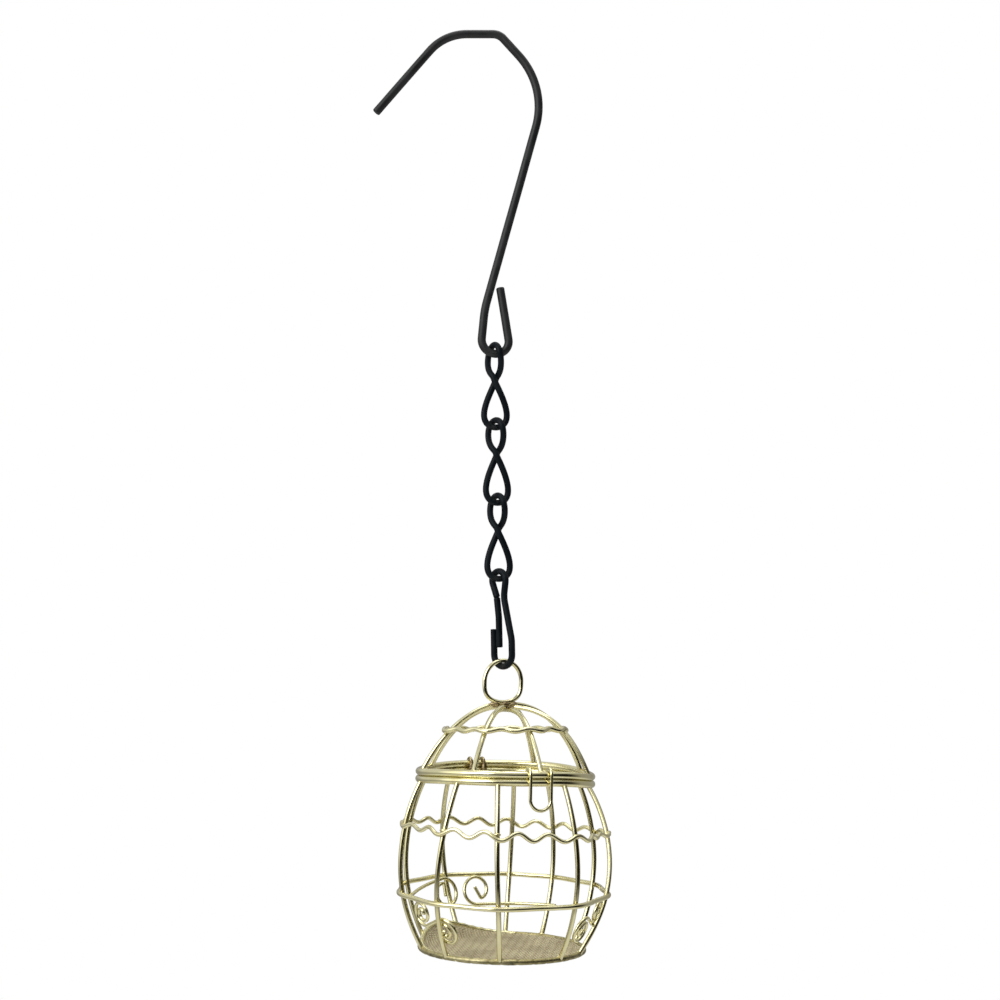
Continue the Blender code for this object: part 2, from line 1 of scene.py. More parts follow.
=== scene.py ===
"""Looks of the hanging wire cage feeder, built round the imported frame.

Every wire is swept again as a smooth finished wire, the floor is woven strand by strand, and the cage's
joints get their solder. Lengths are in metres and angles in degrees, in the frame's own coordinates: the
origin is inside the hook's crown, +Z is up, and an azimuth is 0 at the front (-Y) and grows towards +X.
"""
import json
import math
from functools import partial

import bpy
import numpy as np
from mathutils import Matrix, Vector, noise


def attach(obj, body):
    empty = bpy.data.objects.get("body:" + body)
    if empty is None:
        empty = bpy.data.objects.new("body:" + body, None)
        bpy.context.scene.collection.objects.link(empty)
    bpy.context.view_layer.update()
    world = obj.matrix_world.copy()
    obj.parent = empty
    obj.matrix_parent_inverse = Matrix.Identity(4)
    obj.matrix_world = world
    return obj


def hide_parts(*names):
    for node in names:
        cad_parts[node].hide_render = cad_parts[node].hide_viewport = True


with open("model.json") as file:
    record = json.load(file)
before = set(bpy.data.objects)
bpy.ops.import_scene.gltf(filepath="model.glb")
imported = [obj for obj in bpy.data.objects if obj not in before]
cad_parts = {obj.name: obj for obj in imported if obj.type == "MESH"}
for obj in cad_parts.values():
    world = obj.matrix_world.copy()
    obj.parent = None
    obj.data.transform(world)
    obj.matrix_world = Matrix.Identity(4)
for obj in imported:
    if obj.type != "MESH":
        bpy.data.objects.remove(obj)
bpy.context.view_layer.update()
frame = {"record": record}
BODY_OF = {node: body for body, nodes in frame["record"]["behaviour"]["bodies"].items() for node in nodes}

# Wires and fits
HOOK_WIRE = 0.0032
CHAIN_WIRE = 0.0024
CLIP_WIRE = 0.0025
RIM_WIRE = 0.0024
CAGE_WIRE = 0.0018
SCROLL_WIRE = 0.0013
FINE_WIRE = 0.0012
SEAT_GAP = 0.0003
WELD_DEPTH = 0.00006
LATCH_PLAY = 0.00025
LINK_PLAY = 0.0006
LINK_REST = 0.00038
GATE_SEAM = 0.00008

# Hook: bends from the tip to the foot of the shank, each at x, drop below the crown, bend radius
HOOK_BENDS = (
    (-0.0456, 0.0316, 0.0),
    (-0.0190, 0.0, 0.0187),
    (0.0024, 0.0, 0.0055),
    (0.0211, 0.0212, 0.0310),
    (-0.0032, 0.1095, 0.0380),
)
HOOK_DROP = 0.1267
EYE_OFFSET = 0.0010
EYE_INNER_RADIUS = 0.0035
EYE_CORNER = 1.15
EYE_LEFT_ROUNDNESS = 1.10
EYE_RIGHT_ROUNDNESS = 0.92
EYE_RETURN = 0.0258
EYE_RETURN_LEAN = 0.0041

# Chain links
LINK_LENGTH = 0.0343
LINK_NECK = 0.0137
UPPER_LOOP_INNER = 0.0054
LOWER_LOOP_INNER = 0.0063
LOWER_LOOP_FULLNESS = 0.75
LINK_TWIST = -80.0
TWIST_SHARPNESS = 3.0
CROSSING_SHARPNESS = 3
CHAIN_LEAN = -1.2
CHAIN_OFFSET = 0.0005
CHAIN_LINKS = (("chain_link_upper", 16.0), ("chain_link_middle", 25.0), ("chain_link_lower", 22.0))

# Snap clip, in its own plane
CLIP_YAW = -44.0
CLIP_LENGTH = 0.0385
CLIP_TOP_INNER = 0.0044
CLIP_HOOK_INNER = 0.0067
CLIP_HOOK_OFFSET = 0.0014
CLIP_LOOP_TAPER = 0.0042
CLIP_NECK_DROP = 0.0100
CLIP_NECK_BEND = 0.0100
CLIP_NECK_LEFT = -0.0012
CLIP_NECK_RIGHT = 0.0024
CLIP_HOOK_DROP = 0.0260
CLIP_TIP_DROP = 0.0219
GATE_BEND_DROP = 0.0175
GATE_END_DROP = 0.0289
BOW_ROUNDNESS = 0.97

# Cage as a whole
CAGE_PITCH = -0.35
CAGE_LEAN = 1.2
CAGE_YAW = 21.5
AXIS_OFFSET = 0.0017

# Hanging ring
RING_INNER_WIDTH = 0.0130
RING_INNER_HEIGHT = 0.0125
RING_FLATNESS = 0.6
RING_FINISH = 0.0016
RING_SETTLE = 0.0003
RING_SINK = 0.0024

# Lid
LID_RADIUS = 0.0322
DOME_HEIGHT = 0.0220
DOME_FULLNESS = 2.75
DOME_SKEW = 0.25
CROWN_LIFT_POWER = 4
ARCH_AZIMUTHS = (("dome_arch_lower", 1.7, 179.0), ("dome_arch_upper", 94.5, 265.0))
ARCH_LEG_AZIMUTHS = [azimuth for _, front, back in ARCH_AZIMUTHS for azimuth in (front, back)]
DOME_BAR_AZIMUTHS = (50.5, 138.1, 220.5, 317.5)
DOME_WAVE_RISE = 0.0146
DOME_WAVE_TILT = 0.0008
DOME_WAVE_HIGH_AZIMUTH = 20.0
DOME_WAVES = 14
DOME_WAVE_SWING = 0.0004
DOME_WAVE_PHASE = 10.0
DOME_WAVE_DRAW = 0.0015
LATCH_AZIMUTH = 0.1
LATCH_LENGTH = 0.0124
LATCH_WIDTH = 0.0079
LATCH_WRAP = 145.0
HINGE_AZIMUTH = 179.6
HINGE_SPREAD = 0.0052
HINGE_FINISH = 0.0012

# Body
RING_SPACING = RIM_WIRE + SEAT_GAP
RIM_FINISH = RING_SPACING
RIM_DROOP = 0.0017
RIM_DROOP_SKEW = 0.0004
RIM_DROOP_POWER = 4
RIM_DROOP_REACH = 8
BODY_HEIGHT = 0.0624
BELLY_DROP = 0.0305
BELLY_RADIUS = 0.0394
BASE_RADIUS = 0.0301
BAR_AZIMUTHS = (
    (-93.0, -95.0),
    (-53.0, -62.0),
    (-26.3, -23.0),
    (18.6, 21.5),
    (89.0, 46.0),
    (100.5, 93.0),
    (129.1, 128.1),
    (152.2, 156.0),
    (199.8, 191.2),
    (226.5, 231.0),
)
WAIST_DROP = 0.0192
WAIST_TILT = 0.0021
WAIST_HIGH_AZIMUTH = -64.0
WAIST_WAVES = 21
WAIST_SWING = 0.00135
WAIST_PHASE = 125.0
LOWER_RING_DROP = 0.0419
LOWER_RING_TILT = 0.0010
LOWER_RING_LOW_AZIMUTH = -20.0
RING_TAUTNESS = 0.75
WAIST_SIDE_CALM = 0.6
WAIST_FINISH = 0.0015
WAIST_FRONT_SAG = 0.0006
SIDE_DRAW = 0.0008
SIDE_DRAW_POWER = 4

# Scrolls on the wall below the lower ring
CURL_RADIUS = 0.0051
CURL_INNER = 0.0032
CURL_GROWTH = 2.2
CURL_EYE = 0.5
BACK_CURL_DROP = 0.0048
BACK_CURL_AZIMUTH = 175.2
BACK_CURL_ANGLES = (-62.0, 268.0)
BACK_TAIL = (0.0320, -0.0042)
BACK_LEFT_CURL_AZIMUTH = 197.5
BACK_LEFT_CURL_ANGLES = (90.0, 453.0)
BACK_LEFT_TAIL = (-0.0225, 0.0008)
SIDE_CURL_RADIUS = 0.0045
SIDE_CURL_INNER = 0.0009
SIDE_CURL_GROWTH = 1.15
SIDE_CURL_REACH = (0.0053, 0.0027)
SIDE_CURL_RISE = 0.0120
LEFT_SCROLL_AZIMUTH = -68.0
RIGHT_SCROLL_AZIMUTH = 47.0
SIDE_CURL_TURNS = 1.85

# Woven floor and its hem
FLOOR_EDGE = BASE_RADIUS - CAGE_WIRE / 3
WEAVE_PITCH = 0.00082
WEAVE_STRAND = 0.00044
WEAVE_TURN = 35.0
WEAVE_STEPS = 3
WEAVE_SIDES = 6
RIPPLE_LENGTH = 0.0031
RIPPLE_SWING = 0.00008
RIPPLE_AZIMUTH = -28.5
CURL_UP_AZIMUTH = 214.0
CURL_UP_SPREAD = 35.0
CURL_UP_RISE = 0.0068
CURL_UP_WIDTH = 0.0080
HEM_RADIUS = 0.00104
HEM_BUMP = 0.00008
HEM_NOTCH = 0.00010
HEM_NOTCH_WIDTH = 1.1
HEM_NOTCHES = 34
HEM_NOTCH_SHIFT = 0.35
HEM_NOTCH_SEEDS = (0.7, 4.0)
HEM_BUMP_SCALE = 6.6
# Painted shade on the hem: the heights where it fades in over the wire's lower side, and the patches that
# break it up
HEM_UNDERSIDE = (-0.75, -0.30)
HEM_PATCH_SCALE = 220.0
HEM_PATCH_MEAN = 0.5
HEM_PATCH_SWING = 0.9
HEM_PATCH_LEAST = 0.5
ROLL_RADIUS = 0.00086
ROLL_REACH = 66.0

# Solder and stain
BEAD_LENGTH = 0.0027
BEAD_RADIUS = 0.00066
BEAD_TIP = 0.00018
BEAD_RUFFLE = 0.00010
BEAD_RUFFLE_SCALE = 2
BEAD_FULLNESS = 1.5
BEAD_SEED_STEP = 1.7
BEAD_STEPS = 12
BEAD_SIDES = 12
# Beads at the crown: offset from its middle, length, radius
CROWN_BEADS = (
    (-0.0030, 0.0052, 0.00125),
    (0.0008, 0.0060, 0.00120),
    (0.0042, 0.0050, 0.00115),
)
CROWN_SEED = 5.0
HINGE_BEAD = (0.0068, 0.00110)
HINGE_SEED = 9.0
HINGE_BEAD_REACH = 0.0004
JOINT_STAIN = 0.45
TARNISH_REACH = 0.0024
RUB_REACH = 0.0030

# Smoothness: the heavy wires are the black ones and the two rims
ARC_STEP = 3.0
HALF_TURN_STEPS = math.ceil(180.0 / ARC_STEP)
LINK_STEPS = 220
RING_STEPS = 300
RING_AZIMUTHS = [360.0 * step / RING_STEPS for step in range(RING_STEPS)]
HEM_STEPS = 1200
WAVE_STEPS = 36
BAR_STEPS = 120
CURL_STEP = 5.0
TAIL_STEPS = 60
SLOPE_STEP = 0.0001
HEAVY_STEP = 0.0006
LIGHT_STEP = 0.0004
HEAVY_SIDES = 24
LIGHT_SIDES = 16
END_ROUNDING = 0.16
WOBBLE_SCALE = 55.0
HEAVY_WOBBLE = 0.00005
LIGHT_WOBBLE = 0.00012
WOBBLE_SEED = 7
noise.seed_set(WOBBLE_SEED)

# Colours that the materials mix in, and their stops along a noise
RUBBED_GREY = (0.024, 0.024, 0.024)
SOLDER_STOPS = ((0.30, (0.30, 0.215, 0.105)), (0.75, (0.56, 0.47, 0.26)))
FLUX_BROWN = (0.095, 0.060, 0.028)
SCREEN_STOPS = ((0.30, (0.40, 0.34, 0.215)), (0.55, (0.52, 0.46, 0.30)), (0.78, (0.59, 0.54, 0.345)))
# Painted shade along the screen's ripples
SCREEN_RIPPLE_SHADE = (0.34, 0.26, 0.15)
SCREEN_STAIN = (0.030, 0.022, 0.012)
WAVE_TEXTURE_SCALE = 2 * math.pi / 20

# Studio: what the metal mirrors, as a direction, the cosines between which it fades in, and its brightness
SURROUNDINGS = (
    ((0.52, -0.85, 0.08), 0.12, 0.48, (0.010, 0.009, 0.006)),
    ((-0.35, 0.0, 0.94), 0.14, 0.45, (0.68, 0.68, 0.67)),
    ((0.0, 0.0, -1.0), 0.30, 0.60, (0.76, 0.75, 0.72)),
    ((-0.80, -0.45, 0.40), 0.80, 0.93, (1.45, 1.45, 1.42)),
)
SURROUNDINGS_BASE = (0.33, 0.325, 0.31)
# Lights: a name, a place, the side of the square, the radiance
SOFT_LIGHTS = (
    ("key_light", (-0.75, -0.95, 0.35), 0.9, 3.0),
    ("top_light", (0.05, 0.10, 0.90), 0.8, 2.2),
)
LIGHT_AIM = (0.0, 0.0, -0.30)
BOWL_RADIUS = 3.0
BOWL_CURVE = 1.2
BOWL_CURVE_STEPS = 12
BOWL_TURNS = 72
BOWL_CENTRE = 0.001
FLOOR_LEVEL = -0.46

# Camera: its lens, its place and its tilt
FOCAL_LENGTH = 57.6
SENSOR_WIDTH = 36.0
CAMERA_PLACE = (0.00274, -0.60517, -0.24004)
CAMERA_PITCH = 5.533
CAMERA_NEAR = 0.01


# Shapes that the wires follow
def polar(azimuth, radius, height):
    """The point at an azimuth, radius and height."""
    angle = math.radians(azimuth)
    return Vector((radius * math.sin(angle), -radius * math.cos(angle), height))


def placed(position, pitch=0.0, lean=0.0, yaw=0.0):
    """The place at a position, turned about X, then Y, then Z."""
    place = Matrix.Translation(position)
    for angle, axis in ((pitch, "X"), (lean, "Y"), (yaw, "Z")):
        place = place @ Matrix.Rotation(math.radians(angle), 4, axis)
    return place


def bend(corners):
    """Points of a wire in the XZ plane that is bent to a radius at each corner (x, z, radius)."""
    points = []
    for index, (x, z, radius) in enumerate(corners):
        corner = Vector((x, 0.0, z))
        if index in (0, len(corners) - 1):
            points.append(corner)
            continue
        before = corners[index - 1]
        after = corners[index + 1]
        back = (Vector((before[0], 0.0, before[1])) - corner).normalized()
        ahead = (Vector((after[0], 0.0, after[1])) - corner).normalized()
        turn = math.pi - back.angle(ahead)
        reach = radius * math.tan(turn / 2)
        centre = corner + (back + ahead).normalized() * radius / math.cos(turn / 2)
        first = corner + back * reach - centre
        last = corner + ahead * reach - centre
        steps = max(2, math.ceil(math.degrees(turn) / ARC_STEP))
        for step in range(steps + 1):
            share = step / steps
            mix = math.sin((1 - share) * turn) * first + math.sin(share * turn) * last
            points.append(centre + mix / math.sin(turn))
    return points


def circle(radius, height):
    """A flat ring about the axis."""
    return [polar(azimuth, radius, height) for azimuth in RING_AZIMUTHS]


def rim_drop(azimuth):
    """How far the two rims droop below their plane: most at the cage's left and right."""
    aside = math.sin(math.radians(azimuth + CAGE_YAW))
    return (RIM_DROOP + RIM_DROOP_SKEW * aside) * aside ** RIM_DROOP_POWER


def rim():
    """The ring of the lid's rim and of the body's, which droop alike."""
    return [polar(azimuth, LID_RADIUS, -rim_drop(azimuth)) for azimuth in RING_AZIMUTHS]


def dome_fullness(azimuth):
    """How square the dome's shoulder is: most at the right, least at the left."""
    return DOME_FULLNESS + DOME_SKEW * math.sin(math.radians(azimuth))


def dome_rise(azimuth, radius):
    """Height of the dome's bars above the lid ring, at a radius."""
    return DOME_HEIGHT * (1 - (radius / LID_RADIUS) ** dome_fullness(azimuth))


def dome_radius(azimuth, rise):
    """Radius of the dome's bars at a height above the lid ring."""
    return LID_RADIUS * (1 - rise / DOME_HEIGHT) ** (1 / dome_fullness(azimuth))


def dome_wave_rise(azimuth):
    """Height of the dome's wavy ring above the lid ring: it sits a little askew."""
    return DOME_WAVE_RISE + DOME_WAVE_TILT * math.cos(math.radians(azimuth - DOME_WAVE_HIGH_AZIMUTH))


def dome_leg_azimuths():
    """Azimuths of the arches' legs and the bars of the dome, in order round the lid."""
    return sorted(azimuth % 360.0 for azimuth in (*ARCH_LEG_AZIMUTHS, *DOME_BAR_AZIMUTHS))


def waist_drop(azimuth):
    """Depth of the waist ring below the body's top ring: it sits a little askew."""
    return WAIST_DROP - WAIST_TILT * math.cos(math.radians(azimuth - WAIST_HIGH_AZIMUTH))


def lower_drop(azimuth):
    """Depth of the lower ring below the body's top ring: it hangs lowest at the front."""
    return LOWER_RING_DROP + LOWER_RING_TILT * math.cos(math.radians(azimuth - LOWER_RING_LOW_AZIMUTH))


def body_radius(drop):
    """Radius of the body's bars at a depth below the body's top ring."""
    if drop < BELLY_DROP:
        end, span = LID_RADIUS, BELLY_DROP
    else:
        end, span = BASE_RADIUS, BODY_HEIGHT - BELLY_DROP
    return BELLY_RADIUS - (BELLY_RADIUS - end) * ((drop - BELLY_DROP) / span) ** 2


def beside(profile, level, distance):
    """Radius at a square distance outside a profile, or inside it where the distance is negative."""
    slope = (profile(level + SLOPE_STEP) - profile(level - SLOPE_STEP)) / (2 * SLOPE_STEP)
    return profile(level) + distance * math.sqrt(1 + slope * slope)


def bar_azimuths(drop):
    """Azimuths of the body's bars at a depth below the body's top ring, in order round the cage."""
    share = drop / BODY_HEIGHT
    return sorted((top + share * (bottom - top)) % 360.0 for top, bottom in BAR_AZIMUTHS)


def drawn_in(azimuth, stands, radius):
    """How far a ring is drawn in between two of the bars that it goes round, given where they stand."""
    for low, high in zip(stands, stands[1:] + [stands[0] + 360.0]):
        past = (azimuth - low) % 360.0
        if past < high - low:
            depth = radius * (1 - math.cos(math.radians(high - low) / 2))
            return RING_TAUTNESS * depth * math.sin(math.pi * past / (high - low)) ** 2
    return 0.0


def round_bars(spots, diameter):
    """A ring outside the body's bars, through each azimuth at its depth below the body's top ring."""
    points = []
    for azimuth, drop in spots:
        sag = drawn_in(azimuth, bar_azimuths(drop), body_radius(drop))
        sag += SIDE_DRAW * math.sin(math.radians(azimuth + CAGE_YAW)) ** SIDE_DRAW_POWER
        radius = beside(body_radius, drop, (CAGE_WIRE + diameter) / 2 - WELD_DEPTH) - sag
        points.append(polar(azimuth, radius, -drop))
    return points


def waves_round(waves, swing, phase):
    """Azimuths round a wavy ring, each with the wave's height there."""
    steps = waves * WAVE_STEPS
    azimuths = [360.0 * step / steps for step in range(steps)]
    return [(azimuth, swing * math.cos(math.radians(waves * azimuth + phase))) for azimuth in azimuths]


def link_points(rest):
    """One figure of eight, from the middle of its top wire: the two loops stand at an angle.

    Its top is lowered until only the given rest is left of its play on what carries it.
    """
    upper_width = (UPPER_LOOP_INNER + CHAIN_WIRE) / 2
    lower_width = (LOWER_LOOP_INNER + CHAIN_WIRE) / 2
    upper_height = LINK_NECK - CHAIN_WIRE / 2
    lower_height = LINK_LENGTH - LINK_NECK - CHAIN_WIRE / 2
    settled = upper_height - (LINK_PLAY - rest)
    twist = math.radians(LINK_TWIST)
    spread = CHAIN_WIRE / 2 + SEAT_GAP
    points = []
    for step in range(LINK_STEPS):
        angle = 2 * math.pi * step / LINK_STEPS
        level = math.cos(angle)
        height = settled
        width = upper_width
        if level < 0:
            level = -((-level) ** LOWER_LOOP_FULLNESS)
            height = lower_height
            width = lower_width
        blend = (1 + math.tanh(TWIST_SHARPNESS * level)) / 2
        yaw = twist * blend
        across = width * math.sin(2 * angle)
        past = spread * math.sin(angle) ** CROSSING_SHARPNESS
        x = across * math.cos(yaw) - past * math.sin(yaw)
        y = across * math.sin(yaw) + past * math.cos(yaw)
        points.append(Vector((x, y, height * level - upper_height)))
    return points


def dome_leg(azimuth, lift, end_radius):
    """One leg of the dome, from the lid ring up to a radius near the top, where it lifts over the others."""
    points = []
    for step in range(BAR_STEPS + 1):
        share = step / BAR_STEPS
        radius = (1 - share) * LID_RADIUS + share * end_radius
        raised = lift * (1 - (radius / LID_RADIUS) ** 2) ** CROWN_LIFT_POWER
        foot = rim_drop(azimuth) * (radius / LID_RADIUS) ** RIM_DROOP_REACH
        points.append(polar(azimuth, radius, dome_rise(azimuth, radius) + raised - foot))
    return points


def spiral(centre, inner, outer, start, end, growth):
    """A spiral that opens counterclockwise from an inner radius to an outer one."""
    steps = math.ceil((end - start) / CURL_STEP)
    points = []
    for step in range(steps + 1):
        share = step / steps
        angle = math.radians(start + share * (end - start))
        radius = inner + (outer - inner) * min(1.0, growth * share)
        points.append(centre + Vector((radius * math.cos(angle), radius * math.sin(angle))))
    return points


def tail_scroll(angles, tail):
    """A curl about its own centre that runs out into a long tail."""
    curl = spiral(Vector((0.0, 0.0)), CURL_INNER, CURL_RADIUS, *angles, CURL_GROWTH)
    along = [curl[-1].lerp(Vector(tail), (step + 1) / TAIL_STEPS) for step in range(TAIL_STEPS)]
    return [curl[0] * -CURL_EYE] + curl + along


def side_scroll(mirror):
    """An S of two equal curls."""
    upper = Vector((-SIDE_CURL_REACH[0], SIDE_CURL_REACH[1]))
    lean = math.atan2(-2 * upper.y, -2 * upper.x)
    leave = math.degrees(lean + math.asin(SIDE_CURL_RADIUS / upper.length)) - 90.0
    start = leave - 360.0 * SIDE_CURL_TURNS
    curl = spiral(upper, SIDE_CURL_INNER, SIDE_CURL_RADIUS, start, leave, SIDE_CURL_GROWTH)
    points = curl + [-point for point in curl[::-1]]
    return [Vector((mirror * point.x, point.y)) for point in points]


def on_wall(points, azimuth, drop, sense):
    """Flat scroll points laid on the inside of the bars, about a centre below the body's top ring."""
    inset = (CAGE_WIRE + SCROLL_WIRE) / 2 - WELD_DEPTH
    laid = []
    for point in points:
        level = drop - point.y
        radius = beside(body_radius, level, -inset)
        laid.append(polar(azimuth + sense * math.degrees(point.x / radius), radius, -level))
    return laid


# Sweeping
def resampled(points, step, closed):
    """The same line with its points at an even distance."""
    line = np.array(points, float)
    if closed:
        line = np.vstack([line, line[:1]])
    lengths = np.linalg.norm(np.diff(line, axis=0), axis=1)
    along = np.concatenate([[0.0], np.cumsum(lengths)])
    count = max(4, round(along[-1] / step))
    wanted = np.linspace(0.0, along[-1], count + 1)
    even = np.column_stack([np.interp(wanted, along, line[:, axis]) for axis in range(3)])
    return even[:-1] if closed else even


def wobbled(line, amount, seed):
    """The line with the small unevenness of wire that was bent by hand."""
    moved = [noise.noise_vector(Vector(point) * WOBBLE_SCALE + Vector((seed, 0.0, 0.0))) for point in line]
    return line + amount * np.array(moved)


def carried_frames(line, closed):
    """Tangent, normal and binormal along a line, carried without twist; a closed line's ends meet."""
    if closed:
        tangent = np.roll(line, -1, axis=0) - np.roll(line, 1, axis=0)
    else:
        tangent = np.gradient(line, axis=0)
    tangent /= np.linalg.norm(tangent, axis=1)[:, None]
    side = np.eye(3)[np.argmin(np.abs(tangent[0]))]
    normals = []
    for direction in tangent:
        side = side - direction * side.dot(direction)
        side = side / np.linalg.norm(side)
        normals.append(side)
    normal = np.array(normals)
    binormal = np.cross(tangent, normal)
    if closed:
        end = normal[-1] - tangent[0] * normal[-1].dot(tangent[0])
        gap = math.atan2(end.dot(binormal[0]), end.dot(normal[0]))
        turn = -gap * np.arange(len(line)) / len(line)
        cosine = np.cos(turn)[:, None]
        sine = np.sin(turn)[:, None]
        normal, binormal = normal * cosine + binormal * sine, binormal * cosine - normal * sine
    return tangent, normal, binormal


def with_ends(line, radius):
    """An open line with the extra points that round the edge of its cut ends, and its radii there."""
    edge = END_ROUNDING * 2 * radius
    angles = np.radians([0.0, 30.0, 60.0, 90.0])
    depths = edge * (1 - np.cos(angles))
    radii = radius - edge + edge * np.sin(angles)
    first = (line[1] - line[0]) / np.linalg.norm(line[1] - line[0])
    last = (line[-2] - line[-1]) / np.linalg.norm(line[-2] - line[-1])
    head = line[0] + depths[:, None] * first
    tail = line[-1] + depths[::-1, None] * last
    middle = line[1:-1]
    past_head = np.linalg.norm(middle - line[0], axis=1) > edge
    before_tail = np.linalg.norm(middle - line[-1], axis=1) > edge
    middle = middle[past_head & before_tail]
    ends = np.concatenate([radii, np.full(len(middle), radius), radii[::-1]])
    return np.vstack([head, middle, tail]), ends


def tube(line, radii, sides, closed):
    """Vertices, faces and (along, around) coordinates of a tube on a line; an open tube is capped."""
    tangent, normal, binormal = carried_frames(line, closed)
    angles = 2 * np.pi * np.arange(sides) / sides
    ring = np.cos(angles)[None, :, None] * normal[:, None] + np.sin(angles)[None, :, None] * binormal[:, None]
    vertices = (line[:, None] + radii[:, None, None] * ring).reshape(-1, 3)
    spans = np.linalg.norm(np.diff(line, axis=0), axis=1)
    along = np.repeat(np.concatenate([[0.0], np.cumsum(spans)]), sides)
    around = np.tile(angles, len(line))
    count = len(line)
    first = np.arange(count if closed else count - 1)
    here = (first[:, None] * sides + np.arange(sides)).ravel()
    beside_here = (first[:, None] * sides + (np.arange(sides) + 1) % sides).ravel()
    ahead = (here + sides) % (count * sides)
    beside_ahead = (beside_here + sides) % (count * sides)
    faces = np.column_stack([here, beside_here, beside_ahead, ahead]).tolist()
    if not closed:
        faces.append(list(range(sides))[::-1])
        faces.append([(count - 1) * sides + side for side in range(sides)])
    return vertices, faces, along, around


def nearness(vertices, spots, reach):
    """How near each vertex is to some (place, strength) spots: a spot's strength on it, 0 well away."""
    near = np.zeros(len(vertices))
    for place, strength in spots:
        distance = np.linalg.norm(vertices - np.array(place), axis=1)
        near = np.maximum(near, strength * np.exp(-((distance / reach) ** 2)))
    return near


def mesh_object(name, parts, shader, spots=(), reach=TARNISH_REACH, painted_shade=0.0):
    """One object from (vertices, faces, along, around) parts, stained near the spots and darkened by the
    painted shade it is given.
    """
    vertices = []
    faces = []
    coordinates = []
    start = 0
    for part_vertices, part_faces, along, around in parts:
        vertices.append(part_vertices)
        faces += [[start + corner for corner in face] for face in part_faces]
        coordinates.append(np.column_stack([along, around, np.zeros(len(along))]))
        start += len(part_vertices)
    everything = np.vstack(vertices)
    mesh = bpy.data.meshes.new(name)
    mesh.from_pydata(everything.tolist(), [], faces)
    mesh.polygons.foreach_set("use_smooth", [len(face) == 4 for face in faces])
    run = mesh.attributes.new("run", "FLOAT_VECTOR", "POINT")
    run.data.foreach_set("vector", np.vstack(coordinates).astype(np.float32).ravel())
    # This attribute holds real stain near joints and rubbed contacts, and on the hem painted shade.
    stain_and_shade = mesh.attributes.new("stain_and_shade", "FLOAT", "POINT")
    marked = np.maximum(nearness(everything, spots, reach), painted_shade)
    stain_and_shade.data.foreach_set("value", marked.astype(np.float32))
    mesh.materials.append(shader)
    mesh.update()
    thing = bpy.data.objects.new(name, mesh)
    bpy.context.scene.collection.objects.link(thing)
    return thing


def wire(node, points, diameter, shader, place, closed=False, spots=(), reach=TARNISH_REACH):
    """The finished wire that stands for one node of the frame."""
    heavy = diameter >= CHAIN_WIRE
    line = np.array([place @ Vector(point) for point in points])
    line = resampled(line, HEAVY_STEP if heavy else LIGHT_STEP, closed)
    seed = float(sorted(BODY_OF).index(node))
    line = wobbled(line, HEAVY_WOBBLE if heavy else LIGHT_WOBBLE, seed)
    if closed:
        radii = np.full(len(line), diameter / 2)
    else:
        line, radii = with_ends(line, diameter / 2)
    parts = [tube(line, radii, HEAVY_SIDES if heavy else LIGHT_SIDES, closed)]
    thing = mesh_object(node + "_wire", parts, shader, spots, reach)
    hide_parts(node)
    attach(thing, BODY_OF[node])


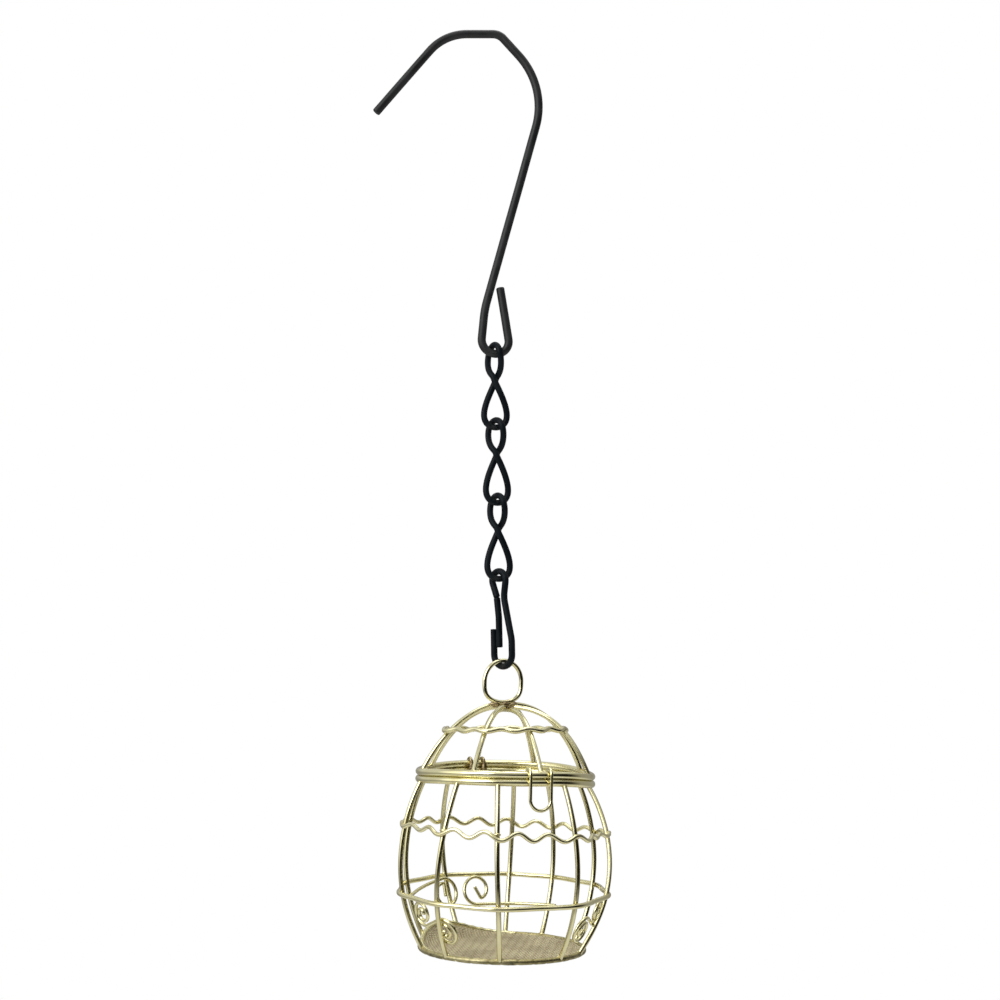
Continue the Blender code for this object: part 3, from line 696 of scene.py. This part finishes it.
# Materials
class Nodes:
    """The node tree of a new material or world, with short ways to add and join nodes."""

    def __init__(self, owner, shader):
        owner.use_nodes = True
        self.owner = owner
        self.tree = owner.node_tree
        self.shader = self.tree.nodes[shader]

    def add(self, kind, **values):
        node = self.tree.nodes.new(kind)
        for key, value in values.items():
            if key in node.inputs:
                node.inputs[key].default_value = value
            else:
                setattr(node, key, value)
        return node

    def feed(self, socket, value):
        """Set a socket to a number or a colour, or join a node's output to it."""
        if isinstance(value, bpy.types.NodeSocket):
            self.tree.links.new(value, socket)
        elif socket.type == "RGBA":
            socket.default_value = (*value, 1.0)
        else:
            socket.default_value = value

    def surface(self, name, value):
        self.feed(self.shader.inputs[name], value)

    def stain_and_shade(self):
        return self.add("ShaderNodeAttribute", attribute_name="stain_and_shade").outputs["Fac"]

    def noise(self, scale, detail, vector=None):
        node = self.add("ShaderNodeTexNoise", Scale=scale, Detail=detail)
        if vector is None:
            vector = self.add("ShaderNodeTexCoord").outputs["Object"]
        self.feed(node.inputs["Vector"], vector)
        return node.outputs["Fac"]

    def stretched(self, along, around):
        """The wire's own (along, around) coordinates, stretched by two factors."""
        scale = self.add("ShaderNodeVectorMath", operation="MULTIPLY")
        run = self.add("ShaderNodeAttribute", attribute_name="run")
        self.feed(scale.inputs[0], run.outputs["Vector"])
        self.feed(scale.inputs[1], (along, around, 1.0))
        return scale.outputs["Vector"]

    def ramp(self, value, stops):
        node = self.add("ShaderNodeValToRGB")
        elements = node.color_ramp.elements
        while len(elements) < len(stops):
            elements.new(1.0)
        for element, (position, colour) in zip(elements, stops):
            element.position = position
            element.color = (*colour, 1.0)
        self.feed(node.inputs["Fac"], value)
        return node.outputs["Color"]

    def range(self, value, low, high, start=0.3, end=0.7):
        limits = {"From Min": start, "From Max": end, "To Min": low, "To Max": high}
        node = self.add("ShaderNodeMapRange", **limits)
        self.feed(node.inputs["Value"], value)
        return node.outputs["Result"]

    def math(self, operation, first, second):
        node = self.add("ShaderNodeMath", operation=operation, use_clamp=True)
        for socket, value in zip(node.inputs, (first, second)):
            self.feed(socket, value)
        return node.outputs["Value"]

    def mix(self, factor, first, second):
        node = self.add("ShaderNodeMix", data_type="RGBA")
        self.feed(node.inputs["Factor"], factor)
        sockets = [socket for socket in node.inputs if socket.type == "RGBA"]
        for socket, value in zip(sockets, (first, second)):
            self.feed(socket, value)
        return [socket for socket in node.outputs if socket.type == "RGBA"][0]

    def facing(self, direction, start, end):
        """How squarely a direction of the world faces this one: 0 up to one cosine, 1 from another on."""
        dot = self.add("ShaderNodeVectorMath", operation="DOT_PRODUCT")
        self.feed(dot.inputs[0], self.add("ShaderNodeTexCoord").outputs["Generated"])
        self.feed(dot.inputs[1], Vector(direction).normalized())
        return self.range(dot.outputs["Value"], 0.0, 1.0, start, end)

    def bump(self, heights):
        """Bumps on top of each other, each as (height, distance in metres, strength)."""
        below = None
        for height, distance, strength in heights:
            node = self.add("ShaderNodeBump", Distance=distance, Strength=strength)
            self.feed(node.inputs["Height"], height)
            if below is not None:
                self.feed(node.inputs["Normal"], below)
            below = node.outputs["Normal"]
        self.surface("Normal", below)


def material_nodes(name):
    return Nodes(bpy.data.materials.new(name), "Principled BSDF")


def black_coating(name, deep, light, gloss):
    """Satin black coating on steel wire: a fine grain, cloudy gloss, and rubbed grey where wires touch."""
    nodes = material_nodes(name)
    clouds = nodes.noise(scale=160.0, detail=4.0)
    grain = nodes.noise(scale=2600.0, detail=3.0)
    flecks = nodes.noise(scale=900.0, detail=2.0)
    colour = nodes.ramp(clouds, ((0.32, deep), (0.70, light)))
    worn = nodes.range(flecks, low=0.0, high=0.9, start=0.42, end=0.62)
    rub = nodes.math("MULTIPLY", nodes.stain_and_shade(), worn)
    nodes.surface("Base Color", nodes.mix(rub, colour, RUBBED_GREY))
    nodes.surface("Roughness", nodes.range(clouds, low=0.36, high=0.50))
    nodes.bump(((grain, 0.00005, 0.35), (flecks, 0.00006, 0.25)))
    nodes.surface("Specular IOR Level", gloss)
    return nodes.owner


def brass_plating(name, light, deep, roughness, soot_and_shade):
    """Pale brass plating: drawn lines along the wire, cloudy gloss, and a dark second colour where the mesh
    is marked: brown heat stain near the joints on the wires, painted shade on the hem.
    """
    nodes = material_nodes(name)
    clouds = nodes.noise(scale=120.0, detail=3.0)
    blotches = nodes.noise(scale=520.0, detail=4.0)
    lines = nodes.noise(scale=1.0, detail=3.0, vector=nodes.stretched(along=140.0, around=9.0))
    pits = nodes.noise(scale=3200.0, detail=2.0)
    colour = nodes.ramp(clouds, ((0.30, deep), (0.72, light)))
    patchy = nodes.range(blotches, low=0.25, high=1.0)
    # Where marked, the second colour is mixed in: brown heat stain on the wires, painted shade on the hem.
    stain_and_shade = nodes.math("MULTIPLY", nodes.stain_and_shade(), patchy)
    colour = nodes.mix(stain_and_shade, colour, soot_and_shade)
    nodes.surface("Base Color", colour)
    clean = nodes.range(blotches, low=roughness - 0.05, high=roughness + 0.07)
    dull = nodes.math("MULTIPLY", stain_and_shade, 0.22)
    nodes.surface("Roughness", nodes.math("ADD", clean, dull))
    nodes.bump(((lines, 0.00003, 0.04), (pits, 0.00003, 0.03)))
    nodes.surface("Metallic", 1.0)
    return nodes.owner


def solder_metal():
    """Dull brown-gold solder with darker flux in its hollows."""
    nodes = material_nodes("brown_solder")
    lumps = nodes.noise(scale=900.0, detail=4.0)
    flux = nodes.noise(scale=420.0, detail=3.0)
    metal = nodes.ramp(lumps, SOLDER_STOPS)
    dark = nodes.range(flux, low=0.0, high=0.85, start=0.48, end=0.66)
    nodes.surface("Base Color", nodes.mix(dark, metal, FLUX_BROWN))
    nodes.surface("Roughness", nodes.range(lumps, low=0.26, high=0.48))
    nodes.bump(((lumps, 0.00012, 0.5),))
    nodes.surface("Metallic", 0.9)
    return nodes.owner


def mesh_metal():
    """Fine dull brass screen wire: painted shade in uneven streaks along the ripples, over a cloudy ground.
    """
    nodes = material_nodes("woven_screen_wire")
    clouds = nodes.noise(scale=90.0, detail=4.0)
    fine = nodes.noise(scale=1500.0, detail=2.0)
    ripples = math.radians(-RIPPLE_AZIMUTH - CAGE_YAW)
    turned = nodes.add("ShaderNodeVectorRotate", rotation_type="Z_AXIS", Angle=ripples)
    nodes.feed(turned.inputs["Vector"], nodes.add("ShaderNodeTexCoord").outputs["Object"])
    spacing = WAVE_TEXTURE_SCALE / RIPPLE_LENGTH
    streaks = nodes.add("ShaderNodeTexWave", Scale=spacing, Distortion=1.6, Detail=2.0)
    nodes.feed(streaks.inputs["Vector"], turned.outputs["Vector"])
    # Painted shade: the screen darkens in streaks at the ripples' spacing and direction.
    ripple_shade = nodes.range(streaks.outputs["Fac"], low=0.0, high=0.36, start=0.55, end=0.98)
    colour = nodes.mix(ripple_shade, nodes.ramp(clouds, SCREEN_STOPS), SCREEN_RIPPLE_SHADE)
    colour = nodes.mix(nodes.stain_and_shade(), colour, SCREEN_STAIN)
    nodes.surface("Base Color", colour)
    nodes.surface("Roughness", nodes.range(fine, low=0.34, high=0.55))
    nodes.bump(((fine, 0.00004, 0.3),))
    nodes.surface("Metallic", 0.45)
    return nodes.owner


HOOK_BLACK = black_coating(
    "black_hook_finish", deep=(0.0070, 0.0074, 0.0084), light=(0.0150, 0.0155, 0.0170), gloss=0.30)
BLACK = black_coating(
    "black_chain_finish", deep=(0.0016, 0.0034, 0.0052), light=(0.0044, 0.0068, 0.0092), gloss=0.10)
BRASS = brass_plating(
    "pale_brass_wire_finish", light=(0.88, 0.84, 0.54), deep=(0.78, 0.72, 0.41), roughness=0.16,
    soot_and_shade=(0.23, 0.15, 0.045))
# The hem's near-black second colour is painted shade in its notches and underside.
HEM = brass_plating(
    "dull_hem_with_painted_shade", light=(0.68, 0.62, 0.37), deep=(0.46, 0.40, 0.19), roughness=0.40,
    soot_and_shade=(0.020, 0.016, 0.006))
SOLDER = solder_metal()
SCREEN = mesh_metal()

# Hook, chain and clip
crown = HOOK_WIRE / 2
eye = EYE_INNER_RADIUS + HOOK_WIRE / 2
eye_left = EYE_OFFSET - EYE_CORNER * eye
eye_right = EYE_OFFSET + EYE_CORNER * eye
hook_corners = [(x, crown - drop, radius) for x, drop, radius in HOOK_BENDS]
hook_corners += [(eye_left, crown - HOOK_DROP, EYE_LEFT_ROUNDNESS * eye)]
hook_corners += [(eye_right, crown - HOOK_DROP, EYE_RIGHT_ROUNDNESS * eye)]
hook_corners += [(eye_right - EYE_RETURN_LEAN, crown - HOOK_DROP + EYE_RETURN, 0.0)]

lean = math.radians(CHAIN_LEAN)
down = Vector((-math.sin(lean), 0.0, -math.cos(lean)))
pivot = Vector((CHAIN_OFFSET, 0.0, crown - HOOK_DROP))
rub_spots = [(pivot, 1.0)]
carrier = HOOK_WIRE
links = []
for link_name, link_yaw in CHAIN_LINKS:
    rise = (carrier + CHAIN_WIRE) / 2 + LINK_PLAY
    links.append((link_name, placed(pivot - down * rise, 0.0, CHAIN_LEAN, link_yaw)))
    pivot = pivot + down * (LINK_LENGTH - CHAIN_WIRE - rise)
    rub_spots.append((pivot, 1.0))
    carrier = CHAIN_WIRE
clip_rise = (CHAIN_WIRE + CLIP_WIRE) / 2 + LINK_PLAY
clip_place = placed(pivot - down * clip_rise, 0.0, CHAIN_LEAN, CLIP_YAW)
clip_bottom = CLIP_LENGTH - CLIP_WIRE
ring_pivot = clip_place @ Vector((CLIP_HOOK_OFFSET, 0.0, -clip_bottom))
rub_spots.append((ring_pivot, 1.0))



def black(node, points, diameter, shader, place, closed=False, spots=rub_spots):
    """A wire of the hook, the chain or the clip."""
    wire(node, points, diameter, shader, place, closed, spots, RUB_REACH)


black("hanger_hook", bend(hook_corners), HOOK_WIRE, HOOK_BLACK, Matrix.Identity(4))
for link_name, link_place in links:
    link_rest = LINK_PLAY if link_name == "chain_link_upper" else LINK_REST
    black(link_name, link_points(link_rest), CHAIN_WIRE, BLACK, link_place, True)

loop = (CLIP_TOP_INNER + CLIP_WIRE) / 2
bow = (CLIP_HOOK_INNER + CLIP_WIRE) / 2
loop_bend = BOW_ROUNDNESS * loop
bow_bend = BOW_ROUNDNESS * bow
tip = CLIP_HOOK_OFFSET - bow
settle = LINK_REST - LINK_PLAY
clip_corners = (
    (CLIP_NECK_LEFT, -CLIP_NECK_DROP, 0.0),
    (-loop, -CLIP_LOOP_TAPER, loop),
    (-loop, settle, loop_bend),
    (loop, settle, loop_bend),
    (loop, -CLIP_LOOP_TAPER, loop),
    (CLIP_NECK_RIGHT, -CLIP_NECK_DROP, CLIP_NECK_BEND),
    (CLIP_HOOK_OFFSET + bow, -CLIP_HOOK_DROP, CLIP_NECK_BEND),
    (CLIP_HOOK_OFFSET + bow, -clip_bottom, bow_bend),
    (tip, -clip_bottom, bow_bend),
    (tip, -CLIP_TIP_DROP, 0.0),
)
black("snap_clip", bend(clip_corners), CLIP_WIRE, BLACK, clip_place)
gate_line = tip + CLIP_WIRE + SEAT_GAP
gate_corners = (
    (CLIP_NECK_LEFT, -CLIP_NECK_DROP - GATE_SEAM, 0.0),
    (gate_line, -GATE_BEND_DROP, CLIP_NECK_BEND),
    (gate_line, -GATE_END_DROP, 0.0),
)
black("snap_clip_gate", bend(gate_corners), CLIP_WIRE, BLACK, clip_place, spots=())

# Places of the lid and the body
ring_top = (CLIP_WIRE + CAGE_WIRE) / 2 + SEAT_GAP
ring_foot = ring_top - RING_INNER_HEIGHT - CAGE_WIRE
layer = CAGE_WIRE + SEAT_GAP
lid_level = ring_foot - 2 * layer - DOME_HEIGHT
lid_place = placed(ring_pivot, CAGE_PITCH, CAGE_LEAN, CAGE_YAW)
lid_axis = lid_place @ Matrix.Translation((AXIS_OFFSET, 0.0, lid_level))
body_axis = lid_axis @ Matrix.Translation((0.0, 0.0, -RING_SPACING))
crown_top = Vector((0.0, 0.0, DOME_HEIGHT + layer))

# Joints of the lid and the body: where a bar meets a ring
lid_joints = []
body_joints = []
for azimuth in (*ARCH_LEG_AZIMUTHS, *DOME_BAR_AZIMUTHS):
    lid_joints.append(polar(azimuth, LID_RADIUS, CAGE_WIRE / 2 - rim_drop(azimuth)))
    wave_rise = dome_wave_rise(azimuth)
    wave_radius = beside(partial(dome_radius, azimuth), wave_rise, CAGE_WIRE / 2)
    lid_joints.append(polar(azimuth, wave_radius, wave_rise))
for top, bottom in BAR_AZIMUTHS:
    body_joints.append(polar(top, LID_RADIUS, -CAGE_WIRE / 2 - rim_drop(top)))
    body_joints.append(polar(bottom, BASE_RADIUS, -BODY_HEIGHT + CAGE_WIRE / 2))
    for level in (waist_drop(top), lower_drop(bottom)):
        azimuth = top + (bottom - top) * level / BODY_HEIGHT
        body_joints.append(polar(azimuth, beside(body_radius, level, CAGE_WIRE / 2), -level))
lid_spots = [(lid_axis @ spot, JOINT_STAIN) for spot in lid_joints]
lid_spots.append((lid_axis @ crown_top, 1.0))
body_spots = [(body_axis @ spot, JOINT_STAIN) for spot in body_joints]

# Lid
ring_width = (RING_INNER_WIDTH + CAGE_WIRE) / 2
ring_head = ring_top - RING_SETTLE
ring_bottom = ring_foot + CAGE_WIRE / 2 - RING_SINK
ring_height = (ring_head - ring_bottom) / 2
ring_points = []
for step in range(RING_STEPS):
    angle = 2 * math.pi * step / RING_STEPS
    level = math.cos(angle)
    if level < 0:
        level = -((-level) ** RING_FLATNESS)
    height = ring_head - ring_height + ring_height * level
    ring_points.append(Vector((ring_width * math.sin(angle), 0.0, height)))


def brass(node, points, place, closed=False, diameter=CAGE_WIRE, spots=()):
    """A wire of the lid, the latch or the cage."""
    wire(node, points, diameter, BRASS, place, closed, spots)


brass("hanging_ring", ring_points, lid_place, True, RING_FINISH, lid_spots)
brass("lid_ring", rim(), lid_axis, True, RIM_FINISH, lid_spots)
for index, (name, front, back) in enumerate(ARCH_AZIMUTHS):
    over = dome_leg(back, index * layer, 0.0)[::-1][1:]
    brass(name, dome_leg(front, index * layer, 0.0) + over, lid_axis, spots=lid_spots)
for index, azimuth in enumerate(DOME_BAR_AZIMUTHS):
    turns = [abs((azimuth - other + 180.0) % 360.0 - 180.0) for other in ARCH_LEG_AZIMUTHS]
    end = layer / math.sin(math.radians(min(turns)))
    brass(f"dome_bar_{index + 1}", dome_leg(azimuth, layer / 2, end), lid_axis, spots=lid_spots)
outside = CAGE_WIRE - WELD_DEPTH
dome_wave = []
for azimuth, wave in waves_round(DOME_WAVES, DOME_WAVE_SWING, DOME_WAVE_PHASE):
    rise = dome_wave_rise(azimuth) + wave
    profile = partial(dome_radius, azimuth)
    sag = drawn_in(azimuth, dome_leg_azimuths(), profile(rise))
    sag += DOME_WAVE_DRAW * max(0.0, math.sin(math.radians(azimuth + CAGE_YAW))) ** 2
    dome_wave.append(polar(azimuth, beside(profile, rise, outside) - sag, rise))
brass("dome_wave_ring", dome_wave, lid_axis, True, spots=lid_spots)


# Latch and hinge
def rim_place(azimuth, half_width):
    """The place of a wire fitting on the lid ring, which is a straight line across the fitting's width."""
    reach = math.sqrt(LID_RADIUS ** 2 - half_width ** 2)
    return lid_axis @ placed(polar(azimuth, reach, 0.0), yaw=azimuth)


latch_half = LATCH_WIDTH / 2
latch_eye = (RIM_FINISH + FINE_WIRE) / 2 + LATCH_PLAY
latch_curl = []
for step in range(math.ceil(LATCH_WRAP / ARC_STEP) + 1):
    angle = math.radians(max(0.0, LATCH_WRAP - step * ARC_STEP))
    latch_curl.append(Vector((-latch_half, -latch_eye * math.cos(angle), latch_eye * math.sin(angle))))
latch_foot = []
for step in range(HALF_TURN_STEPS + 1):
    angle = math.pi * step / HALF_TURN_STEPS
    drop = LATCH_LENGTH - latch_half + latch_half * math.sin(angle)
    latch_foot.append(Vector((-latch_half * math.cos(angle), -latch_eye, -drop)))
latch_back = [Vector((-point.x, point.y, point.z)) for point in latch_curl[::-1]]
latch_points = latch_curl + latch_foot + latch_back
brass("lid_latch", latch_points, rim_place(LATCH_AZIMUTH, latch_half), diameter=FINE_WIRE)

hinge_place = rim_place(HINGE_AZIMUTH, HINGE_SPREAD / 2)
hinge_eye = (RIM_WIRE + FINE_WIRE) / 2 + SEAT_GAP
for node, side in (("hinge_loop_left", -1), ("hinge_loop_right", 1)):
    loop_points = []
    for step in range(2 * HALF_TURN_STEPS + 2):
        half_turn, rest = divmod(step, HALF_TURN_STEPS + 1)
        angle = math.pi * (half_turn + rest / HALF_TURN_STEPS)
        drop = half_turn * RING_SPACING - hinge_eye * math.sin(angle)
        loop_points.append(Vector((side * HINGE_SPREAD / 2, hinge_eye * math.cos(angle), -drop)))
    hinge_spots = [(hinge_place @ point, 1.0) for point in loop_points]
    brass(node, loop_points, hinge_place, True, HINGE_FINISH, hinge_spots)

# Body
brass("body_top_ring", rim(), body_axis, True, RIM_FINISH, body_spots)
brass("base_ring", circle(BASE_RADIUS, -BODY_HEIGHT), body_axis, True, spots=body_spots)
lower = [(azimuth, lower_drop(azimuth)) for azimuth in RING_AZIMUTHS]
brass("lower_ring", round_bars(lower, CAGE_WIRE), body_axis, True, spots=body_spots)
waist = []
for azimuth, wave in waves_round(WAIST_WAVES, WAIST_SWING, WAIST_PHASE):
    calm = WAIST_SIDE_CALM * math.sin(math.radians(azimuth + CAGE_YAW)) ** 2
    sag = WAIST_FRONT_SAG * max(0.0, math.cos(math.radians(azimuth + CAGE_YAW))) ** 2
    waist.append((azimuth, waist_drop(azimuth) + wave * (1 - calm) + sag))
brass("waist_wave_ring", round_bars(waist, WAIST_FINISH), body_axis, True, WAIST_FINISH, body_spots)
for index, (top, bottom) in enumerate(BAR_AZIMUTHS):
    points = []
    for step in range(BAR_STEPS + 1):
        share = step / BAR_STEPS
        drop = share * BODY_HEIGHT
        head = rim_drop(top) * (1 - share) ** RIM_DROOP_REACH
        points.append(polar(top + share * (bottom - top), body_radius(drop), -drop - head))
    brass(f"body_bar_{index + 1:02d}", points, body_axis, spots=body_spots)

back_drop = LOWER_RING_DROP + BACK_CURL_DROP
side_drop = BODY_HEIGHT - SIDE_CURL_RISE
back_curl = tail_scroll(BACK_CURL_ANGLES, BACK_TAIL)
back_left_curl = tail_scroll(BACK_LEFT_CURL_ANGLES, BACK_LEFT_TAIL)
scroll_shapes = (
    ("scroll_back", back_curl, BACK_CURL_AZIMUTH, back_drop, -1),
    ("scroll_back_left", back_left_curl, BACK_LEFT_CURL_AZIMUTH, back_drop, -1),
    ("scroll_left", side_scroll(1), LEFT_SCROLL_AZIMUTH, side_drop, 1),
    ("scroll_right", side_scroll(-1), RIGHT_SCROLL_AZIMUTH, side_drop, 1),
)
for node, points, azimuth, drop, sense in scroll_shapes:
    brass(node, on_wall(points, azimuth, drop, sense), body_axis, diameter=SCROLL_WIRE)


# Woven floor
def floor_lift(x, y):
    """Rise of the screen above the base ring's plane: slight ripples, and a stretch of edge that curls up."""
    ripple = math.radians(RIPPLE_AZIMUTH)
    across = x * math.cos(ripple) + y * math.sin(ripple)
    height = RIPPLE_SWING * math.sin(2 * math.pi * across / RIPPLE_LENGTH)
    azimuth = math.degrees(math.atan2(x, -y)) % 360.0
    radius = math.hypot(x, y)
    aside = (azimuth - CURL_UP_AZIMUTH + 180.0) % 360.0 - 180.0
    inward = max(0.0, 1 - (BASE_RADIUS - radius) / CURL_UP_WIDTH)
    return height + CURL_UP_RISE * math.exp(-((aside / CURL_UP_SPREAD) ** 2)) * inward ** 2


def woven_floor():
    """Strands both ways, each over and under the strands it crosses, cut to the base ring's circle."""
    turn = math.radians(WEAVE_TURN)
    swing = WEAVE_STRAND / 2
    reach = math.floor(FLOOR_EDGE / WEAVE_PITCH)
    parts = []
    for way in (0, 1):
        for row in range(-reach, reach + 1):
            across = row * WEAVE_PITCH
            half = math.sqrt(FLOOR_EDGE ** 2 - across ** 2)
            steps = max(4, math.ceil(2 * half / WEAVE_PITCH * WEAVE_STEPS))
            line = []
            for step in range(steps + 1):
                along = -half + 2 * half * step / steps
                height = swing * math.cos(math.pi * (along / WEAVE_PITCH + row + way))
                u, v = (along, across) if way == 0 else (across, along)
                x = u * math.cos(turn) - v * math.sin(turn)
                y = u * math.sin(turn) + v * math.cos(turn)
                point = Vector((x, y, height + floor_lift(x, y) - BODY_HEIGHT))
                line.append(body_axis @ point)
            line = np.array(line)
            parts.append(tube(line, np.full(len(line), WEAVE_STRAND / 2), WEAVE_SIDES, False))
    floor = mesh_object("floor_mesh_weave", parts, SCREEN)
    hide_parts("floor_mesh")
    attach(floor, BODY_OF["floor_mesh"])


def floor_hem():
    """The screen's edge, wrapped round the base ring in uneven gathers, with painted shade darkening its
    notches and, in patches, its underside.
    """
    pitch = 360.0 / HEM_NOTCHES
    notches = []
    for index in range(HEM_NOTCHES):
        shift = noise.noise(Vector((index * HEM_NOTCH_SEEDS[0], 0.0, HEM_NOTCH_SEEDS[1])))
        notches.append((index + HEM_NOTCH_SHIFT * shift) * pitch)
    line = []
    radii = []
    for step in range(HEM_STEPS):
        azimuth = 360.0 * step / HEM_STEPS
        loose = noise.noise(polar(azimuth, HEM_BUMP_SCALE, 0.0))
        aside = min(abs((azimuth - notch + 180.0) % 360.0 - 180.0) for notch in notches)
        notch = math.exp(-((aside / HEM_NOTCH_WIDTH) ** 2))
        radii.append(HEM_RADIUS + HEM_BUMP * loose - HEM_NOTCH * notch)
        line.append(body_axis @ polar(azimuth, BASE_RADIUS, -BODY_HEIGHT))
    # Painted shade in the notches: spots at full strength, which the hem's finish turns near black.
    spots = [(body_axis @ polar(notch, BASE_RADIUS, -BODY_HEIGHT), 1.0) for notch in notches]
    part = tube(np.array(line), np.array(radii), LIGHT_SIDES, True)
    # Painted shade beneath: darker from a little above the hem's middle down its underside, broken into
    # patches.
    below = (np.repeat(np.array(line), LIGHT_SIDES, axis=0) - part[0])[:, 2] / HEM_RADIUS
    shade_patches = [noise.noise(Vector(point) * HEM_PATCH_SCALE) for point in line]
    shade_patches = HEM_PATCH_MEAN + HEM_PATCH_SWING * np.repeat(shade_patches, LIGHT_SIDES)
    painted_underside_shade = np.interp(below, HEM_UNDERSIDE, (0.0, 1.0)) * np.clip(shade_patches, HEM_PATCH_LEAST, 1.0)
    hem = mesh_object("floor_hem", [part], HEM, spots, HEM_RADIUS, painted_underside_shade)
    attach(hem, BODY_OF["floor_mesh"])


def floor_roll():
    """The rolled edge of the screen where it stands up off the base ring."""
    line = []
    for step in range(RING_STEPS + 1):
        azimuth = CURL_UP_AZIMUTH + ROLL_REACH * (2 * step / RING_STEPS - 1)
        flat = polar(azimuth, FLOOR_EDGE, -BODY_HEIGHT)
        line.append(body_axis @ (flat + Vector((0.0, 0.0, floor_lift(flat.x, flat.y)))))
    line, radii = with_ends(np.array(line), ROLL_RADIUS)
    roll = mesh_object("floor_roll", [tube(line, radii, LIGHT_SIDES, False)], BRASS)
    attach(roll, BODY_OF["floor_mesh"])


woven_floor()
floor_hem()
floor_roll()


# Solder
def bead(centre, direction, seed, length=BEAD_LENGTH, girth=BEAD_RADIUS):
    """A small uneven fillet of solder along a wire, where another meets it."""
    line = []
    radii = []
    for step in range(BEAD_STEPS + 1):
        share = 2 * step / BEAD_STEPS - 1
        swell = (1 - share ** 2) ** BEAD_FULLNESS
        rough = noise.noise(Vector((share * BEAD_RUFFLE_SCALE, seed, 0.0)))
        line.append(centre + direction * share * length / 2)
        radii.append(BEAD_TIP + (girth - BEAD_TIP + BEAD_RUFFLE * rough) * swell)
    return tube(np.array(line), np.array(radii), BEAD_SIDES, False)


def soldered(name, joints, axis, body, spots):
    """A bead along the ring at each joint, plated with the wires."""
    parts = []
    for index, joint in enumerate(joints):
        along_ring = Vector((-joint.y, joint.x, 0.0)).normalized()
        parts.append(bead(axis @ joint, axis.to_3x3() @ along_ring, index * BEAD_SEED_STEP))
    thing = mesh_object(name, parts, BRASS, spots)
    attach(thing, body)


soldered("lid_solder", lid_joints, lid_axis, "lid", lid_spots)
soldered("body_solder", body_joints, body_axis, "cage", body_spots)

crown_parts = []
for index, (offset, length, girth) in enumerate(CROWN_BEADS):
    middle = lid_place @ Vector((offset, 0.0, ring_bottom - RING_FINISH / 2))
    sideways = lid_place.to_3x3() @ Vector((1.0, 0.0, 0.0))
    crown_parts.append(bead(middle, sideways, CROWN_SEED + index, length, girth))
crown_solder = mesh_object("crown_solder", crown_parts, SOLDER)
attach(crown_solder, "lid")

hinge_parts = []
for side in (-1, 1):
    inside = hinge_eye + HINGE_BEAD_REACH
    middle = hinge_place @ Vector((side * HINGE_SPREAD / 2, inside, -RING_SPACING / 2))
    upwards = hinge_place.to_3x3() @ Vector((0.0, 0.0, 1.0))
    hinge_parts.append(bead(middle, upwards, HINGE_SEED + side, *HINGE_BEAD))
hinge_solder = mesh_object("hinge_solder", hinge_parts, SOLDER)
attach(hinge_solder, "cage")

# Stage: a white bowl, soft lights and the camera
def bowl():
    """A floor that curves up into a wall all round."""
    flat = BOWL_RADIUS - BOWL_CURVE
    profile = [(BOWL_CENTRE, 0.0), (flat, 0.0)]
    for step in range(1, BOWL_CURVE_STEPS + 1):
        angle = math.radians(90.0 * step / BOWL_CURVE_STEPS)
        profile.append((flat + BOWL_CURVE * math.sin(angle), BOWL_CURVE * (1 - math.cos(angle))))
    profile.append((BOWL_RADIUS, 2 * BOWL_RADIUS))
    vertices = []
    faces = []
    for radius, height in profile:
        for turn in range(BOWL_TURNS):
            vertices.append(polar(360.0 * turn / BOWL_TURNS, radius, FLOOR_LEVEL + height))
    for ring in range(len(profile) - 1):
        low = ring * BOWL_TURNS
        high = low + BOWL_TURNS
        for turn in range(BOWL_TURNS):
            after = (turn + 1) % BOWL_TURNS
            faces.append((low + turn, low + after, high + after, high + turn))
    faces.append(tuple(range(BOWL_TURNS))[::-1])
    mesh = bpy.data.meshes.new("studio_floor")
    mesh.from_pydata(vertices, [], faces)
    for face in mesh.polygons:
        face.use_smooth = True
    nodes = material_nodes("studio_white")
    nodes.surface("Base Color", (0.0, 0.0, 0.0))
    nodes.surface("Specular IOR Level", 0.0)
    nodes.surface("Emission Color", (1.0, 1.0, 1.0))
    nodes.surface("Emission Strength", 1.0)
    nodes.owner.cycles.emission_sampling = "NONE"
    mesh.materials.append(nodes.owner)
    floor = bpy.data.objects.new("studio_floor", mesh)
    bpy.context.scene.collection.objects.link(floor)
    floor.visible_glossy = False


def soft_light(name, place, size, radiance):
    """A square soft light that faces the cage."""
    lamp = bpy.data.lights.new(name, "AREA")
    lamp.shape = "SQUARE"
    lamp.size = size
    lamp.energy = radiance * math.pi * size * size
    thing = bpy.data.objects.new(name, lamp)
    bpy.context.scene.collection.objects.link(thing)
    thing.location = place
    thing.rotation_euler = (Vector(LIGHT_AIM) - Vector(place)).to_track_quat("-Z", "Y").to_euler()
    thing.visible_camera = False


bowl()
for light in SOFT_LIGHTS:
    soft_light(*light)

surroundings = Nodes(bpy.data.worlds.new("studio_world"), "Background")
colour = SURROUNDINGS_BASE
for direction, start, end, panel in SURROUNDINGS:
    colour = surroundings.mix(surroundings.facing(direction, start, end), colour, panel)
surroundings.surface("Color", colour)
bpy.context.scene.world = surroundings.owner
bpy.context.scene.view_settings.view_transform = "Standard"

camera = bpy.data.cameras.new("photo_camera")
camera.sensor_width = SENSOR_WIDTH
camera.lens = FOCAL_LENGTH
camera.clip_start = CAMERA_NEAR
photo_camera = bpy.data.objects.new("photo_camera", camera)
photo_camera.location = CAMERA_PLACE
photo_camera.rotation_euler = (math.radians(90.0 + CAMERA_PITCH), 0.0, 0.0)
bpy.context.scene.collection.objects.link(photo_camera)
bpy.context.scene.camera = photo_camera
